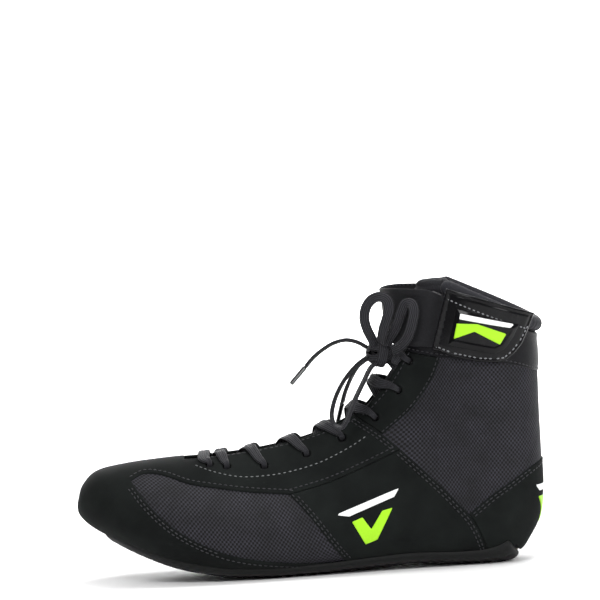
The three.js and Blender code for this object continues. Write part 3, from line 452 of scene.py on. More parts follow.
def two_sided_grid(from_station, to_station, rows, columns):
    """Both sides of the last in one grid: outer sole line, outer side, ridge, inner side, sole line."""
    outer = last_grid(from_station, to_station, rows, -1, columns)
    inner = last_grid(from_station, to_station, rows, 1, columns)
    grid = {k: np.concatenate([outer[k], inner[k][:, -2::-1]], axis=1) for k in outer}
    seam = columns - 1
    mean = unit(outer["normals"][:, -1] + inner["normals"][:, -1])
    grid["normals"][:, seam] = mean
    sole = unit(outer["normals"][:, 0] + inner["normals"][:, 0])
    grid["normals"][:, 0] = sole
    grid["normals"][:, -1] = sole
    mirrored = 2 * outer["uvs"][:, -1:, 1] - inner["uvs"][:, -2::-1, 1]
    grid["uvs"][:, seam + 1:, 1] = mirrored
    return grid


def side_distance(points, outline, axes=(0, 2)):
    """Signed distance to a closed outline, in side view or on other axes: positive inside."""
    p = np.asarray(points)[..., list(axes)].reshape(-1, 2)
    a = np.asarray(outline, float)
    b = np.roll(a, -1, axis=0)
    best = np.full(len(p), 1e9)
    inside = np.zeros(len(p), bool)
    for (ax, az), (bx, bz) in zip(a, b):
        d = np.array([bx - ax, bz - az])
        t = np.clip(((p - [ax, az]) @ d) / max(d @ d, 1e-12), 0, 1)
        best = np.minimum(best, np.hypot(*(p - [ax, az] - t[:, None] * d).T))
        crosses = (az > p[:, 1]) != (bz > p[:, 1])
        if bz != az:
            inside ^= crosses & (p[:, 0] < (bx - ax) * (p[:, 1] - az) / (bz - az) + ax)
    return np.where(inside, best, -best).reshape(np.asarray(points).shape[:-1])


def smooth_line(points):
    """A rounded line through given points, as eight short edges from one to the next."""
    return spline(np.asarray(points, float), 8 * (len(points) - 1) + 1).tolist()


# ------------------------------------------------------------------ seams
# Where the panels meet, drawn from the boot's outer side. Both sides are cut alike.
COLLAR_SEAM = smooth_line([(30, 143.5), (60, 135.5), (82.8, 131), (101.4, 128.6), (120, 125.6),
                           (132.2, 121.8), (152, 112)])
ANKLE_SEAM = smooth_line([(14, 110), (24.8, 98.7), (44.5, 84.4), (72.3, 57.8), (86.9, 42), (97, 29),
                          (103.5, 13), (109, -14)])
FACING_SEAM = smooth_line([(82.8, 131), (77.1, 118), (63.6, 100.1), (44.5, 84.4)])
HEEL_SEAM = smooth_line([(95.5, 34.2), (108.7, 44.1), (121.7, 52.1), (134.6, 60), (152, 68.2)])
WINDOW_TOP = smooth_line([(-112.5, 64.2), (-105, 67.5), (-92.6, 66.2), (-77.3, 60.9), (-58.8, 57.3),
                          (-40.3, 54.3), (-15.5, 51.6)])
WINDOW_BACK = smooth_line([(-15.5, 51.6), (-3.9, 37.8), (7.6, 21.5), (16.8, 8.7)])
WINDOW_FOOT = smooth_line([(16.8, 8.7), (-18.1, 11.2), (-48.9, 16.7), (-70.2, 25.2), (-88.1, 36.6),
                           (-102.8, 51.2), (-112.5, 64.2)])
QUARTER_TOP = smooth_line([(-15.5, 51.6), (9.8, 57.5), (32.1, 65.6), (58, 76.2)])
WINDOW = WINDOW_TOP + WINDOW_BACK[1:] + WINDOW_FOOT[1:-1]
QUARTER = QUARTER_TOP + [(120, 60), (120, -40), (17.5, -40)] + WINDOW_BACK[:0:-1]
ANKLE_SIDE = ANKLE_SEAM + [(200, -40), (200, 260), (14, 260)]
ABOVE_COLLAR_SEAM = COLLAR_SEAM + [(200, 112), (200, 260), (30, 260)]
BEFORE_FACING_SEAM = FACING_SEAM + [(44, 60), (10, 60), (10, 260), (82.8, 260)]
BELOW_HEEL_SEAM = HEEL_SEAM + [(200, 66), (200, -60), (80, -60), (80, 32)]
THROAT = 9.0
THROAT_FLARE = 16.0
THROAT_START = 5.4


def throat_half(station):
    climb = np.clip((np.asarray(station, float) - THROAT_START) / (TOP - THROAT_START), 0, None)
    return THROAT + THROAT_FLARE * climb ** 1.6


# ------------------------------------------------------------------ nubuck panels
# Matt buffed leather about 1.5 mm thick, die-cut and folded at the edges: the toe cap with the vamp and lower
# facings in one piece, two quarters, two ankle facings and the heel wrap. Sewn to the mesh beside them.


def split_faces(data, quads, others, value, keep_outside):
    """Cuts faces along value = 0. Rows of data are vertices and value is one number for each. quads is an
    array of four-cornered faces, and others a list of the rest. What is under 0 goes, or stays as faces of
    its own."""
    value = np.where(np.abs(value) < 0.06, 0.0, value)
    rows = list(data)
    made = {}

    def on_edge(a, b):
        key = (a, b) if a < b else (b, a)
        if key not in made:
            t = value[key[0]] / (value[key[0]] - value[key[1]])
            made[key] = len(rows)
            rows.append(data[key[0]] * (1 - t) + data[key[1]] * t)
        return made[key]

    low, high = value[quads].min(1), value[quads].max(1)
    across = (low < 0) & (high > 0)
    stays = ~across if keep_outside else low >= 0
    kept = []
    for face in [tuple(q) for q in quads[across].tolist()] + others:
        signs = [value[i] for i in face]
        if min(signs) >= 0 or (keep_outside and max(signs) <= 0):
            kept.append(face)
            continue
        if max(signs) <= 0:
            continue
        over, under = [], []
        for a, b in zip(face, face[1:] + face[:1]):
            if value[a] >= 0:
                over.append(a)
            if value[a] <= 0:
                under.append(a)
            if value[a] * value[b] < 0:
                cut = on_edge(a, b)
                over.append(cut)
                under.append(cut)
        kept += [tuple(f) for f in ((over, under) if keep_outside else (over,)) if len(f) > 2]
    rows = np.array(rows)
    quads = quads[stays]
    used = np.unique(np.concatenate([quads.ravel()] + [np.array(f) for f in kept]).astype(int))
    renumber = np.full(len(rows), -1)
    renumber[used] = np.arange(len(used))
    return rows[used], renumber[quads], [tuple(renumber[list(f)].tolist()) for f in kept]


def grid_rows(grid):
    """A grid as vertex rows (point, normal, uv, station) and quads facing outwards."""
    shape = grid["stations"].shape
    data = np.concatenate([grid["points"], grid["normals"], grid["uvs"], grid["stations"][..., None]], -1)
    number = np.arange(shape[0] * shape[1]).reshape(shape)
    a, b, c, d = number[:-1, :-1], number[1:, :-1], number[1:, 1:], number[:-1, 1:]
    quads = np.stack([a, d, c, b], -1).reshape(-1, 4)
    return data.reshape(-1, data.shape[-1]), quads


EDGE_STEPS = (0.35, 0.9)


def panel(name, grid, edges, outer_level, inner_level, material, relief=None, edge_steps=EDGE_STEPS,
          edge_drop=0.6):
    """A closed panel between two levels over the last. edges are functions of the vertex rows: distance
    inside each edge, in millimetres. The outer face rounds down towards every edge."""
    data, quads = grid_rows(grid)
    others = []
    for edge in edges:
        data, quads, others = split_faces(data, quads, others, edge(data), keep_outside=False)
    for step in edge_steps:
        for edge in edges:
            data, quads, others = split_faces(data, quads, others, edge(data) - step, keep_outside=True)
    inside = np.min([edge(data) for edge in edges], axis=0)
    run = np.clip(inside / edge_steps[-1], 0, 1)
    height = inner_level + (outer_level - inner_level) * (1 - edge_drop * (1 - np.sqrt(1 - (1 - run) ** 2)))
    if relief is not None:
        height = height + relief(data, inside)
    top = data[:, :3] + data[:, 3:6] * height[:, None]
    bottom = data[:, :3] + data[:, 3:6] * inner_level
    count = len(data)
    faces = [tuple(q) for q in quads.tolist()] + others
    rim = set()
    for face in faces:
        for a, b in zip(face, face[1:] + face[:1]):
            if (b, a) in rim:
                rim.discard((b, a))
            else:
                rim.add((a, b))
    faces += [tuple(i + count for i in f[::-1]) for f in faces]
    faces += [(b, a, a + count, b + count) for a, b in sorted(rim)]
    return new_object(name, np.concatenate([top, bottom]), faces, material,
                      np.concatenate([data[:, 6:8]] * 2))


def inside_of(outline, level=0.0, axes=(0, 2)):
    return lambda data: side_distance(data[:, :3] + data[:, 3:6] * level, outline, axes)


def outside_of(outline):
    return lambda data: -side_distance(data[:, :3], outline)


def off_throat(data):
    """Distance from the edge of the throat, for vertices in front of the toe end or beside it."""
    station, y = data[:, 8], data[:, 1]
    sole, ridge = section(station)[:2]
    share = share_up(data, sole, ridge)
    beside = np.maximum(np.abs(y) - throat_half(station), (0.6 - share) * 100)
    ahead = (THROAT_START - station) * 11.0
    return np.where(station > THROAT_START, beside, np.maximum(ahead, beside))


def off_toe_tip(data):
    return data[:, 8] * 6.0 + 1.0


HOLES = [(-64, 70.5), (-53, 69), (-30, 68.5), (-3.4, 74.2), (19.5, 82.8), (40.8, 94.6), (56.1, 111.2),
         (64.1, 129)]
HOLE = 2.5
hunt_station, hunt_y = np.meshgrid(np.linspace(4, TOP, 900), np.linspace(0.5, 40, 400), indexing="ij")
hunt = {side: over_ridge(hunt_station, side * hunt_y) for side in (-1, 1)}


def hole_at(row, side):
    """A lace hole's station and its distance from the middle."""
    away = np.hypot(hunt[side][..., 0] - HOLES[row][0], hunt[side][..., 2] - HOLES[row][1])
    best = np.unravel_index(np.argmin(away), away.shape)
    return hunt_station[best], side * hunt_y[best]


hole_centres = np.array([over_ridge(*hole_at(row, side)) for side in (-1, 1) for row in range(len(HOLES))])


def off_holes(data):
    """Distance from the edge of the nearest lace hole."""
    return np.linalg.norm(data[:, None, :3] - hole_centres, axis=-1).min(1) - HOLE


SOLE_INSET = 14.0


def nubuck_material():
    # Buffed leather: a short nap that goes lighter and darker in soft patches, no shine, and faint pores.
    material, tree, shader = new_material("black nubuck")
    patches = noise(tree, 38.0, 3.0, 0.55)
    nap = noise(tree, 1500.0, 4.0, 0.7)
    blend = maths(tree, "MULTIPLY_ADD", nap.outputs[0], 0.45, patches.outputs[0])
    ramp = node(tree, "ShaderNodeMapRange", inputs={0: blend, 1: 0.45, 2: 1.0, 3: 0.0, 4: 1.0})
    coloured(tree, shader, ramp.outputs[0], "#0b0d0d", "#171a19")
    bumped(tree, shader, nap.outputs[0], 0.35, 0.00012)
    set_values(shader, {"Roughness": 0.85, "Specular IOR Level": 0.08,
                        "Sheen Weight": 0.015, "Sheen Roughness": 0.4})
    return material


nubuck = nubuck_material()
ROWS = 300
COLUMNS = 140
whole = two_sided_grid(0.04, TOP, ROWS, COLUMNS)


def off_sole(data):
    """The panels turn under the foot and end at the lasting board, near the middle of the sole."""
    sole, ridge, outer, inner, drift = section(data[:, 8])[:5]
    share = share_up(data, sole, ridge)
    half = np.where(data[:, 1] < drift, outer, inner)
    under = np.maximum(np.abs(data[:, 1] - drift) - half + SOLE_INSET, (share - 0.1) * 60)
    ends = np.maximum(2.5 - data[:, 8], data[:, 8] - 13.0) * 12
    return np.maximum(under, ends)


def soft_waves(data, inside):
    """Slow swelling of a panel that is pulled over the last and worn a little."""
    p = data[:, :3]
    wave = np.sin(p[:, 0] / 13 + 1.3 * np.sin(p[:, 2] / 17)) * np.sin(p[:, 1] / 15 + p[:, 2] / 19 + 0.7)
    return 0.16 * wave * np.clip(inside / 8, 0, 1)


NUBUCK_OUT = 1.8
NUBUCK_IN = 0.25
OVERLAP = 0.3


def one_side(grid, side):
    """The outer (-1) or inner (1) half of a two-sided grid."""
    middle = COLUMNS - 1
    part = slice(0, middle + 1) if side < 0 else slice(middle, None)
    return {k: v[:, part] for k, v in grid.items()}


toe_and_vamp = panel("toe_and_vamp_nubuck", whole,
                     [outside_of(ANKLE_SIDE), outside_of(WINDOW), outside_of(QUARTER), off_throat, off_sole,
                      off_toe_tip, off_holes],
                     NUBUCK_OUT + OVERLAP, NUBUCK_IN, nubuck, soft_waves)
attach(toe_and_vamp, "boot")
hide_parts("toe_and_vamp")
for side_name, side in (("outer", -1), ("inner", 1)):
    half = one_side(whole, side)
    quarter = panel("quarter_" + side_name + "_nubuck", half,
                    [outside_of(ANKLE_SIDE), inside_of(QUARTER), off_sole], NUBUCK_OUT, NUBUCK_IN, nubuck,
                    soft_waves)
    facing = panel("ankle_facing_" + side_name + "_nubuck", half,
                   [inside_of(ANKLE_SIDE), inside_of(BEFORE_FACING_SEAM), outside_of(ABOVE_COLLAR_SEAM),
                    off_throat, off_holes],
                   NUBUCK_OUT, NUBUCK_IN, nubuck, soft_waves)
    for piece, stands_for in ((quarter, "quarter_"), (facing, "ankle_facing_")):
        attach(piece, "boot")
        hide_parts(stands_for + side_name)
heel_wrap = panel("heel_wrap_nubuck", whole, [inside_of(ANKLE_SIDE), inside_of(BELOW_HEEL_SEAM), off_sole],
                  NUBUCK_OUT, NUBUCK_IN, nubuck, soft_waves)
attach(heel_wrap, "boot")
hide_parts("heel_wrap")

# ------------------------------------------------------------------ mesh panels
# Polyester spacer mesh: a warp-knit face of staggered oval holes about 2.5 mm apart over a dark backing. One
# window on each side of the toes and one panel on each side of the ankle, with their edges tucked under the
# nubuck.


def mesh_material():
    # Warp-knit polyester: grey-violet threads round staggered black holes, a little lighter where they cross.
    material, tree, shader = new_material("polyester spacer mesh")
    uv = node(tree, "ShaderNodeUVMap", {"uv_map": "mm"})
    parts = node(tree, "ShaderNodeSeparateXYZ", inputs={0: uv.outputs[0]})
    along = maths(tree, "MULTIPLY", parts.outputs["X"], 2 * math.pi / MESH_PITCH)
    round_ = maths(tree, "MULTIPLY", parts.outputs["Y"], math.pi / MESH_ROW)
    cos_a = maths(tree, "COSINE", along)
    cos_b = maths(tree, "COSINE", round_)
    holes = maths(tree, "MULTIPLY", cos_a, cos_b)
    hollow = node(tree, "ShaderNodeMapRange", {"interpolation_type": "SMOOTHSTEP"},
                  {0: holes, 1: -0.25, 2: 0.3})
    knit = noise(tree, 1300.0, 3.0)
    cloud = noise(tree, 60.0, 2.0)
    tone = maths(tree, "MULTIPLY", knit.outputs[0], cloud.outputs[0])
    range_ = node(tree, "ShaderNodeMapRange", inputs={0: tone, 1: 0.12, 2: 0.4})
    yarn = node(tree, "ShaderNodeMix", {"data_type": "RGBA"},
                {0: range_.outputs[0], 6: linear("#1d1d21"), 7: linear("#2f2e36")})
    colour = node(tree, "ShaderNodeMix", {"data_type": "RGBA"},
                  {0: hollow.outputs[0], 6: yarn.outputs[2], 7: linear("#020203")})
    tree.links.new(colour.outputs[2], shader.inputs["Base Color"])
    height = maths(tree, "MULTIPLY_ADD", hollow.outputs[0], -1.0, knit.outputs[0])
    bumped(tree, shader, height, 0.6, 0.0003)
    set_values(shader, {"Roughness": 0.62, "Specular IOR Level": 0.2})
    return material


MESH_PITCH = 2.5
MESH_ROW = 1.45
MESH_OUT = 1.25
LEG_CENTRE = 96.0
LEG_RADIUS = 44.0
MESH_TUCK = 1.6
spacer_mesh = mesh_material()


def knit_relief(data, inside):
    """Holes sunk into the face, and the tucked edge pressed flat."""
    u, v = data[:, 6], data[:, 7]
    holes = np.cos(2 * np.pi * u / MESH_PITCH) * np.cos(np.pi * v / MESH_ROW)
    sunk = np.clip((holes - 0.1) / 0.4, 0, 1)
    tucked = np.clip(1 - inside / MESH_TUCK, 0, 1)
    return -0.2 * sunk * (1 - tucked) - 0.75 * tucked


def widened(edge, by):
    return lambda data: edge(data) + by


for side_name, side in (("outer", -1), ("inner", 1)):
    toe = last_grid(2.4, 9.6, 265, side, 230)
    ankle = last_grid(9.2, TOP, 215, side, 230)
    # the ankle's mesh is cut with its rows level: its UVs run round the leg one way and up from the floor
    round_leg = LEG_RADIUS * np.arctan2(ankle["points"][..., 1], ankle["points"][..., 0] - LEG_CENTRE)
    ankle["uvs"] = np.stack([round_leg, ankle["points"][..., 2]], -1)
    toe_mesh = panel("toe_mesh_" + side_name + "_knit", toe, [widened(inside_of(WINDOW), MESH_TUCK)],
                     MESH_OUT, 0.2, spacer_mesh, knit_relief)
    ankle_mesh = panel("ankle_mesh_" + side_name + "_knit", ankle,
                       [widened(inside_of(ANKLE_SIDE), MESH_TUCK),
                        widened(outside_of(BEFORE_FACING_SEAM), MESH_TUCK),
                        widened(outside_of(ABOVE_COLLAR_SEAM), MESH_TUCK),
                        widened(outside_of(BELOW_HEEL_SEAM), MESH_TUCK)],
                       MESH_OUT, 0.2, spacer_mesh, knit_relief)
    for piece, stands_for in ((toe_mesh, "toe_mesh_"), (ankle_mesh, "ankle_mesh_")):
        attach(piece, "boot")
        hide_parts(stands_for + side_name)

# ------------------------------------------------------------------ collar cuff
# Smooth synthetic leather over thin foam, sewn to the ankle mesh below and turned over the padded roll above.


def smooth_leather_material():
    # Coated leather with a satin face: small rounded grain cells and a clear highlight.
    material, tree, shader = new_material("smooth coated leather")
    coords = node(tree, "ShaderNodeTexCoord")
    grain = node(tree, "ShaderNodeTexVoronoi", {"feature": "DISTANCE_TO_EDGE"},
                 {"Vector": coords.outputs["Object"], "Scale": 1100.0})
    creases = node(tree, "ShaderNodeMapRange", {"interpolation_type": "SMOOTHSTEP"},
                   {0: grain.outputs[0], 1: 0.0, 2: 0.12})
    patches = noise(tree, 45.0, 2.0)
    coloured(tree, shader, patches.outputs[0], "#0c0c0f", "#141417")
    bumped(tree, shader, creases.outputs[0], 0.35, 0.0001)
    set_values(shader, {"Roughness": 0.48, "Specular IOR Level": 0.12})
    return material


smooth_leather = smooth_leather_material()


def padded_cuff(data, inside):
    """Stitches pull the cuff in along its seams; behind the strap's patch foam swells it."""
    behind = np.clip((data[:, 0] - 131) / 9, 0, 1)
    return 0.7 * behind * np.clip(inside / 12, 0, 1) - 0.3 * np.exp(-((inside - 2.2) / 0.9) ** 2)


def below_collar(data):
    return (TOP - data[:, 8]) * 8.4


cuff = panel("collar_cuff_leather", two_sided_grid(15.5, TOP, 110, 130),
             [inside_of(ANKLE_SIDE), inside_of(ABOVE_COLLAR_SEAM), off_throat, off_holes, below_collar],
             NUBUCK_OUT, NUBUCK_IN, smooth_leather, padded_cuff)
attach(cuff, "boot")
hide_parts("collar_cuff")

# ------------------------------------------------------------------ lining
# Brushed polyester bonded to thin foam: it shows inside the collar and along the edges of the throat.


def textile_material(name, dark, light, thread_mm, roughness=0.9):
    # Close woven or brushed textile: a fine over-under weave that blurs into an even matt tone.
    material, tree, shader = new_material(name)
    coords = node(tree, "ShaderNodeTexCoord")
    parts = node(tree, "ShaderNodeSeparateXYZ", inputs={0: coords.outputs["Object"]})
    turns = 2 * math.pi / (thread_mm * MM)
    waves = []
    for axis in "XYZ":
        scaled = maths(tree, "MULTIPLY", parts.outputs[axis], turns)
        waves.append(node(tree, "ShaderNodeMath", {"operation": "SINE"}, {0: scaled}))
    first = maths(tree, "ADD", waves[0].outputs[0], waves[1].outputs[0])
    weave = maths(tree, "MULTIPLY", first, waves[2].outputs[0])
    fuzz = noise(tree, 900.0, 3.0)
    both = maths(tree, "MULTIPLY_ADD", weave, 0.22, fuzz.outputs[0])
    coloured(tree, shader, both, dark, light)
    bumped(tree, shader, both, 0.6, 0.0002)
    set_values(shader, {"Roughness": roughness, "Specular IOR Level": 0.15, "Sheen Weight": 0.05})
    return material


lining_textile = textile_material("brushed lining textile", "#0c0c0e", "#26262a", 0.8)
lining = panel("lining_textile", two_sided_grid(0.2, TOP, 150, 90), [off_throat, off_toe_tip, off_holes],
               -0.1, -2.6, lining_textile)
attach(lining, "boot")
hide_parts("lining")

# ------------------------------------------------------------------ laced run
# The same lace from the bar at the toe end up to the top holes: at each side it comes up under the other
# facing's edge, over it, and down into the next hole.
OVER_PANELS = 3.05
UNDER_LINING = -4.3
CROSSING = 1.05
HOLE_LACE = 3.6


def place_at(station, y, level):
    """A point at a level over the last, beside its ridge, and the way the surface faces there."""
    base = over_ridge(station, y)
    upwards = over_ridge(station + 0.05, y) - over_ridge(station - 0.05, y)
    sideways = over_ridge(station, y + 0.5) - over_ridge(station, y - 0.5)
    faces = unit(np.cross(upwards, sideways))
    faces = faces * np.where(faces[..., 2:] < 0, -1, 1)
    return base + faces * np.asarray(level)[..., None], faces


def stop_at(station, y, level, width=LACE_WIDTH):
    point, faces = place_at(station, y, level)
    return np.concatenate([point, faces, [width, LACE_THICK]])


def turn_through(station, y):
    """The stops where the lace turns down through a hole."""
    bend = y - np.sign(y)
    over = stop_at(station, bend, OVER_PANELS, HOLE_LACE)
    under = stop_at(station, bend, UNDER_LINING, HOLE_LACE)
    outwards = over[3:6].copy()
    sideways = np.array([0, np.sign(y), 0])
    sideways = unit(sideways - outwards * (sideways @ outwards))
    over[3:6] = outwards + 0.7 * sideways
    under[3:6] = -outwards + 0.7 * sideways
    middle = stop_at(station, y, -0.65, HOLE_LACE)
    middle[3:6] = sideways
    return [over, middle, under]


def turned_over(stops, sign):
    return [np.concatenate([s[:3], s[3:6] * sign, s[6:]]) for s in stops]


def climb(side):
    """The lace's way up from one of the two lowest holes."""
    stops, facing = [], 1
    for row in range(len(HOLES) - 1):
        (here, here_y), (after, after_y) = hole_at(row, side), hole_at(row + 1, -side)
        stops += turned_over(turn_through(here, here_y), facing)
        facing = -facing
        at = here + (after - here) * np.array([0.1, 0.28, 0.5, 0.7, 0.9])
        half = throat_half(at[2])
        if row + 2 < len(HOLES):
            stops += turned_over([
                stop_at(at[0], here_y - side * 4, UNDER_LINING, HOLE_LACE + 1),
                stop_at(at[1], side * (half + 1), UNDER_LINING),
                stop_at(at[2], 0, (OVER_PANELS + UNDER_LINING) / 2 + side * CROSSING),
                stop_at(at[3], -side * (half - 1), OVER_PANELS + 0.5),
                stop_at(at[4], after_y + side * 4, OVER_PANELS, HOLE_LACE + 1.6)], facing)
            side = -side
    ahead = (here + after) / 2
    stops += turned_over([
        stop_at(here + 0.1, here_y - side * 4, UNDER_LINING, HOLE_LACE + 1),
        stop_at(ahead - 0.25, side * (half + 1), UNDER_LINING),
        stop_at(ahead, 0, UNDER_LINING + 1 + CROSSING + side * CROSSING),
        stop_at(ahead + 0.25, -side * (half + 1), UNDER_LINING),
        stop_at(after - 0.1, after_y + side * 4, UNDER_LINING, HOLE_LACE + 1)], facing)
    stops += turned_over(turn_through(after, after_y)[::-1], -facing)
    stops += turned_over([
        stop_at(after - 0.05, after_y + side * 4, OVER_PANELS, HOLE_LACE + 1.2),
        stop_at(after - 0.35, -side * (throat_half(after) - 1), OVER_PANELS + 0.6),
        stop_at(after - 0.7, KNOT[1] - side * 8.5, OVER_PANELS + 1.6, LACE_WIDTH * 0.7)], -facing)
    return stops


LACE_STEPS = 1300
bar_station, bar_y = hole_at(0, 1)
bar = [stop_at(bar_station - 0.1, y, OVER_PANELS + 0.2) for y in (4 - bar_y, 0, bar_y - 4)]
stops = np.array(climb(-1)[::-1] + bar + climb(1))
run = spline(stops, LACE_STEPS)
points, faces, uvs = ribbon_mesh(run[:, :3], run[:, 3:6], run[:, 6], run[:, 7])
lace_run = new_object("lace_run_braid", points, faces, lace_finish, uvs)
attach(lace_run, "boot")
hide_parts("lace_run")

# ------------------------------------------------------------------ the knot
# The middle of the bow: turns of the same lace pulled tight over each other. The inner ones fill it, and the
# outer ones are drawn over them and over the roots of the loops and ends.
WOUND_TURNS = 1.15
WOUND_STEPS = 90


def wound(tilt, lean, radii, width, start=0.0):
    """A turn of lace round the knot, in a plane tilted and then leaning by so many degrees."""
    angle = np.linspace(start, start + 2 * np.pi * WOUND_TURNS, WOUND_STEPS)
    ring = np.stack([np.zeros(WOUND_STEPS), np.cos(angle) * radii[0], np.sin(angle) * radii[1]], -1)
    turn = np.array(Matrix.Rotation(math.radians(tilt), 3, "Y") @ Matrix.Rotation(math.radians(lean), 3, "Z"))
    ring = ring @ turn.T
    sideways = np.linspace(-0.5, 0.5, WOUND_STEPS)[:, None] * turn[:, 0]
    return ribbon_mesh(KNOT + ring + sideways, unit(ring), width, 2.0)


inner_turns = [wound(18, 8, (6.6, 5.4), 5.8), wound(78, 30, (6.0, 4.6), 5.6, start=1.0),
               wound(104, -34, (5.8, 4.8), 5.6, start=2.0), wound(48, 60, (5.2, 4.2), 5.0, start=0.4)]
outer_turns = [wound(14, 12, (9.2, 8.4), 6.6, start=0.6), wound(74, 26, (8.6, 8.0), 6.6, start=1.6),
               wound(112, -30, (8.3, 7.6), 6.6, start=2.6)]
points, faces, uvs = joined(inner_turns + outer_turns)
knot = new_object("lace_knot_braid", points, faces, lace_finish, uvs)
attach(knot, "boot")
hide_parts("lace_knot")

# ------------------------------------------------------------------ outsole
# A thin moulded rubber sole glued under the foot: split-grip bars in a chevron pattern and a rounded rim.


def rubber_material():
    # Moulded rubber: deep matt black with a fine dusty speckle.
    material, tree, shader = new_material("moulded outsole rubber")
    dust = noise(tree, 700.0, 4.0)
    coloured(tree, shader, dust.outputs[0], "#090a0a", "#141515")
    bumped(tree, shader, dust.outputs[0], 0.3, 0.0002)
    set_values(shader, {"Roughness": 0.6, "Specular IOR Level": 0.2})
    return material


def within_sole(data):
    sole, ridge, outer, inner, drift = section(data[:, 8])[:5]
    share = share_up(data, sole, ridge)
    half = np.where(data[:, 1] < drift, outer, inner)
    sides = np.minimum(half - 9 - np.abs(data[:, 1] - drift), (0.1 - share) * 60)
    return np.minimum(sides, np.minimum(data[:, 8] - 2.6, 12.9 - data[:, 8]) * 12)


def tread(data, inside):
    """Chevron bars across the sole, standing 0.7 mm proud; the sole thins towards the toe."""
    wave = np.sin((data[:, 0] + 0.6 * np.abs(data[:, 1])) * 2 * np.pi / 6.5)
    return -0.7 * (wave < -0.2) * (inside > 4) - 1.6 * np.clip((5 - data[:, 8]) / 2.4, 0, 1)


outsole_rubber = rubber_material()
outsole = panel("outsole_rubber", whole, [within_sole], 5.1, 1.9, outsole_rubber, tread,
                edge_steps=(0.8, 2.4, 6.0), edge_drop=0.9)
for vertex in outsole.data.vertices:
    vertex.co.z = max(vertex.co.z, 0.0)
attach(outsole, "boot")
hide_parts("outsole")

# ------------------------------------------------------------------ collar roll
# A foam-filled roll of soft coated textile round the top of the collar, gathered slightly by its seam.


TUBE_SIDES = 26


def tube_mesh(path, radius):
    """A closed tube along a path. radius is one number for each point of the surface, or broadcasts to it."""
    along = unit(np.gradient(path, axis=0))
    side = unit(np.cross(along, [0.3, 0, 0.95]))
    up = np.cross(side, along)
    angle = np.linspace(0, 2 * np.pi, TUBE_SIDES, endpoint=False)
    rings = path[:, None] + radius[..., None] * (np.cos(angle)[None, :, None] * side[:, None]
                                                 + np.sin(angle)[None, :, None] * up[:, None])
    number = np.arange(len(path) * TUBE_SIDES).reshape(len(path), TUBE_SIDES)
    turned = np.roll(number, -1, axis=1)
    faces = np.stack([number[:-1], number[1:], turned[1:], turned[:-1]], -1).reshape(-1, 4).tolist()
    faces += [number[0].tolist(), number[-1, ::-1].tolist()]
    uvs = np.stack(np.broadcast_arrays(run_length(path)[:, None], angle[None, :] * 5), -1)
    return rings.reshape(-1, 3), faces, uvs.reshape(-1, 2)


ROLL = 4.7
top_sole, top_ridge = section(float(TOP))[:2]
outer_edge = half_section(float(TOP), -1, 300)[0]
inner_edge = half_section(float(TOP), 1, 300)[0]
rim = np.concatenate([outer_edge[::-1], inner_edge[1:]])
rim = rim[(np.abs(rim[:, 1]) > throat_half(TOP) + 2.5) | (rim[:, 0] > 100)]
lean = unit(top_ridge - top_sole)
inwards = (rim[::6] - [108, 0, 158]) * -0.055
centre_line = spline(rim[::6] + inwards + np.array([lean[1], 0, -lean[0]]) * 5.2, 260)
run = run_length(centre_line)
angle = np.linspace(0, 2 * np.pi, TUBE_SIDES, endpoint=False)
gathers = 0.10 * np.sin(run[:, None] * 2 * np.pi / 4.1 + 1.2 * np.sin(run[:, None] / 9))
gathers = gathers * (1 + np.cos(angle[None, :] - np.pi * 1.5))
ends = np.clip(np.minimum(run, run[-1] - run) / 4.5, 0.02, 1)
radius = ROLL * np.sqrt(1 - (1 - ends[:, None]) ** 2) * (1 + 0.03 * np.sin(run[:, None] / 17 + 1)) + gathers
points, faces, uvs = tube_mesh(centre_line, radius)
roll_textile = textile_material("soft coated collar textile", "#151518", "#28282d", 0.7, 0.8)
roll = new_object("collar_roll_padded", points, faces, roll_textile, uvs)
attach(roll, "boot")
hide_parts("collar_roll")

# ------------------------------------------------------------------ tongue
# A padded tongue of the lining textile with a bound edge, sewn in at the toe end of the throat.


def sheet_mesh(centre, thickness, uvs, from_edge):
    """A closed sheet round a grid of points, thinning to a rounded edge."""
    rows, columns = centre.shape[:2]
    normals = unit(np.cross(np.gradient(centre, axis=0), np.gradient(centre, axis=1)))
    run = np.clip(from_edge / (thickness / 2), 0, 1)
    half = (thickness / 2 * (0.12 + 0.88 * np.sqrt(1 - (1 - run) ** 2)))[..., None]
    number = np.arange(rows * columns).reshape(rows, columns)
    upper = np.stack([number[:-1, :-1], number[1:, :-1], number[1:, 1:], number[:-1, 1:]], -1).reshape(-1, 4)
    around = np.concatenate([number[:, 0], number[-1, 1:], number[-2::-1, -1], number[0, -2::-1]])
    count = rows * columns
    faces = upper.tolist() + (upper[:, ::-1] + count).tolist()
    faces += [(b, a, a + count, b + count) for a, b in zip(around[:-1].tolist(), around[1:].tolist())]
    points = np.concatenate([(centre + normals * half).reshape(-1, 3),
                             (centre - normals * half).reshape(-1, 3)])
    return points, faces, np.concatenate([uvs.reshape(-1, 2)] * 2)


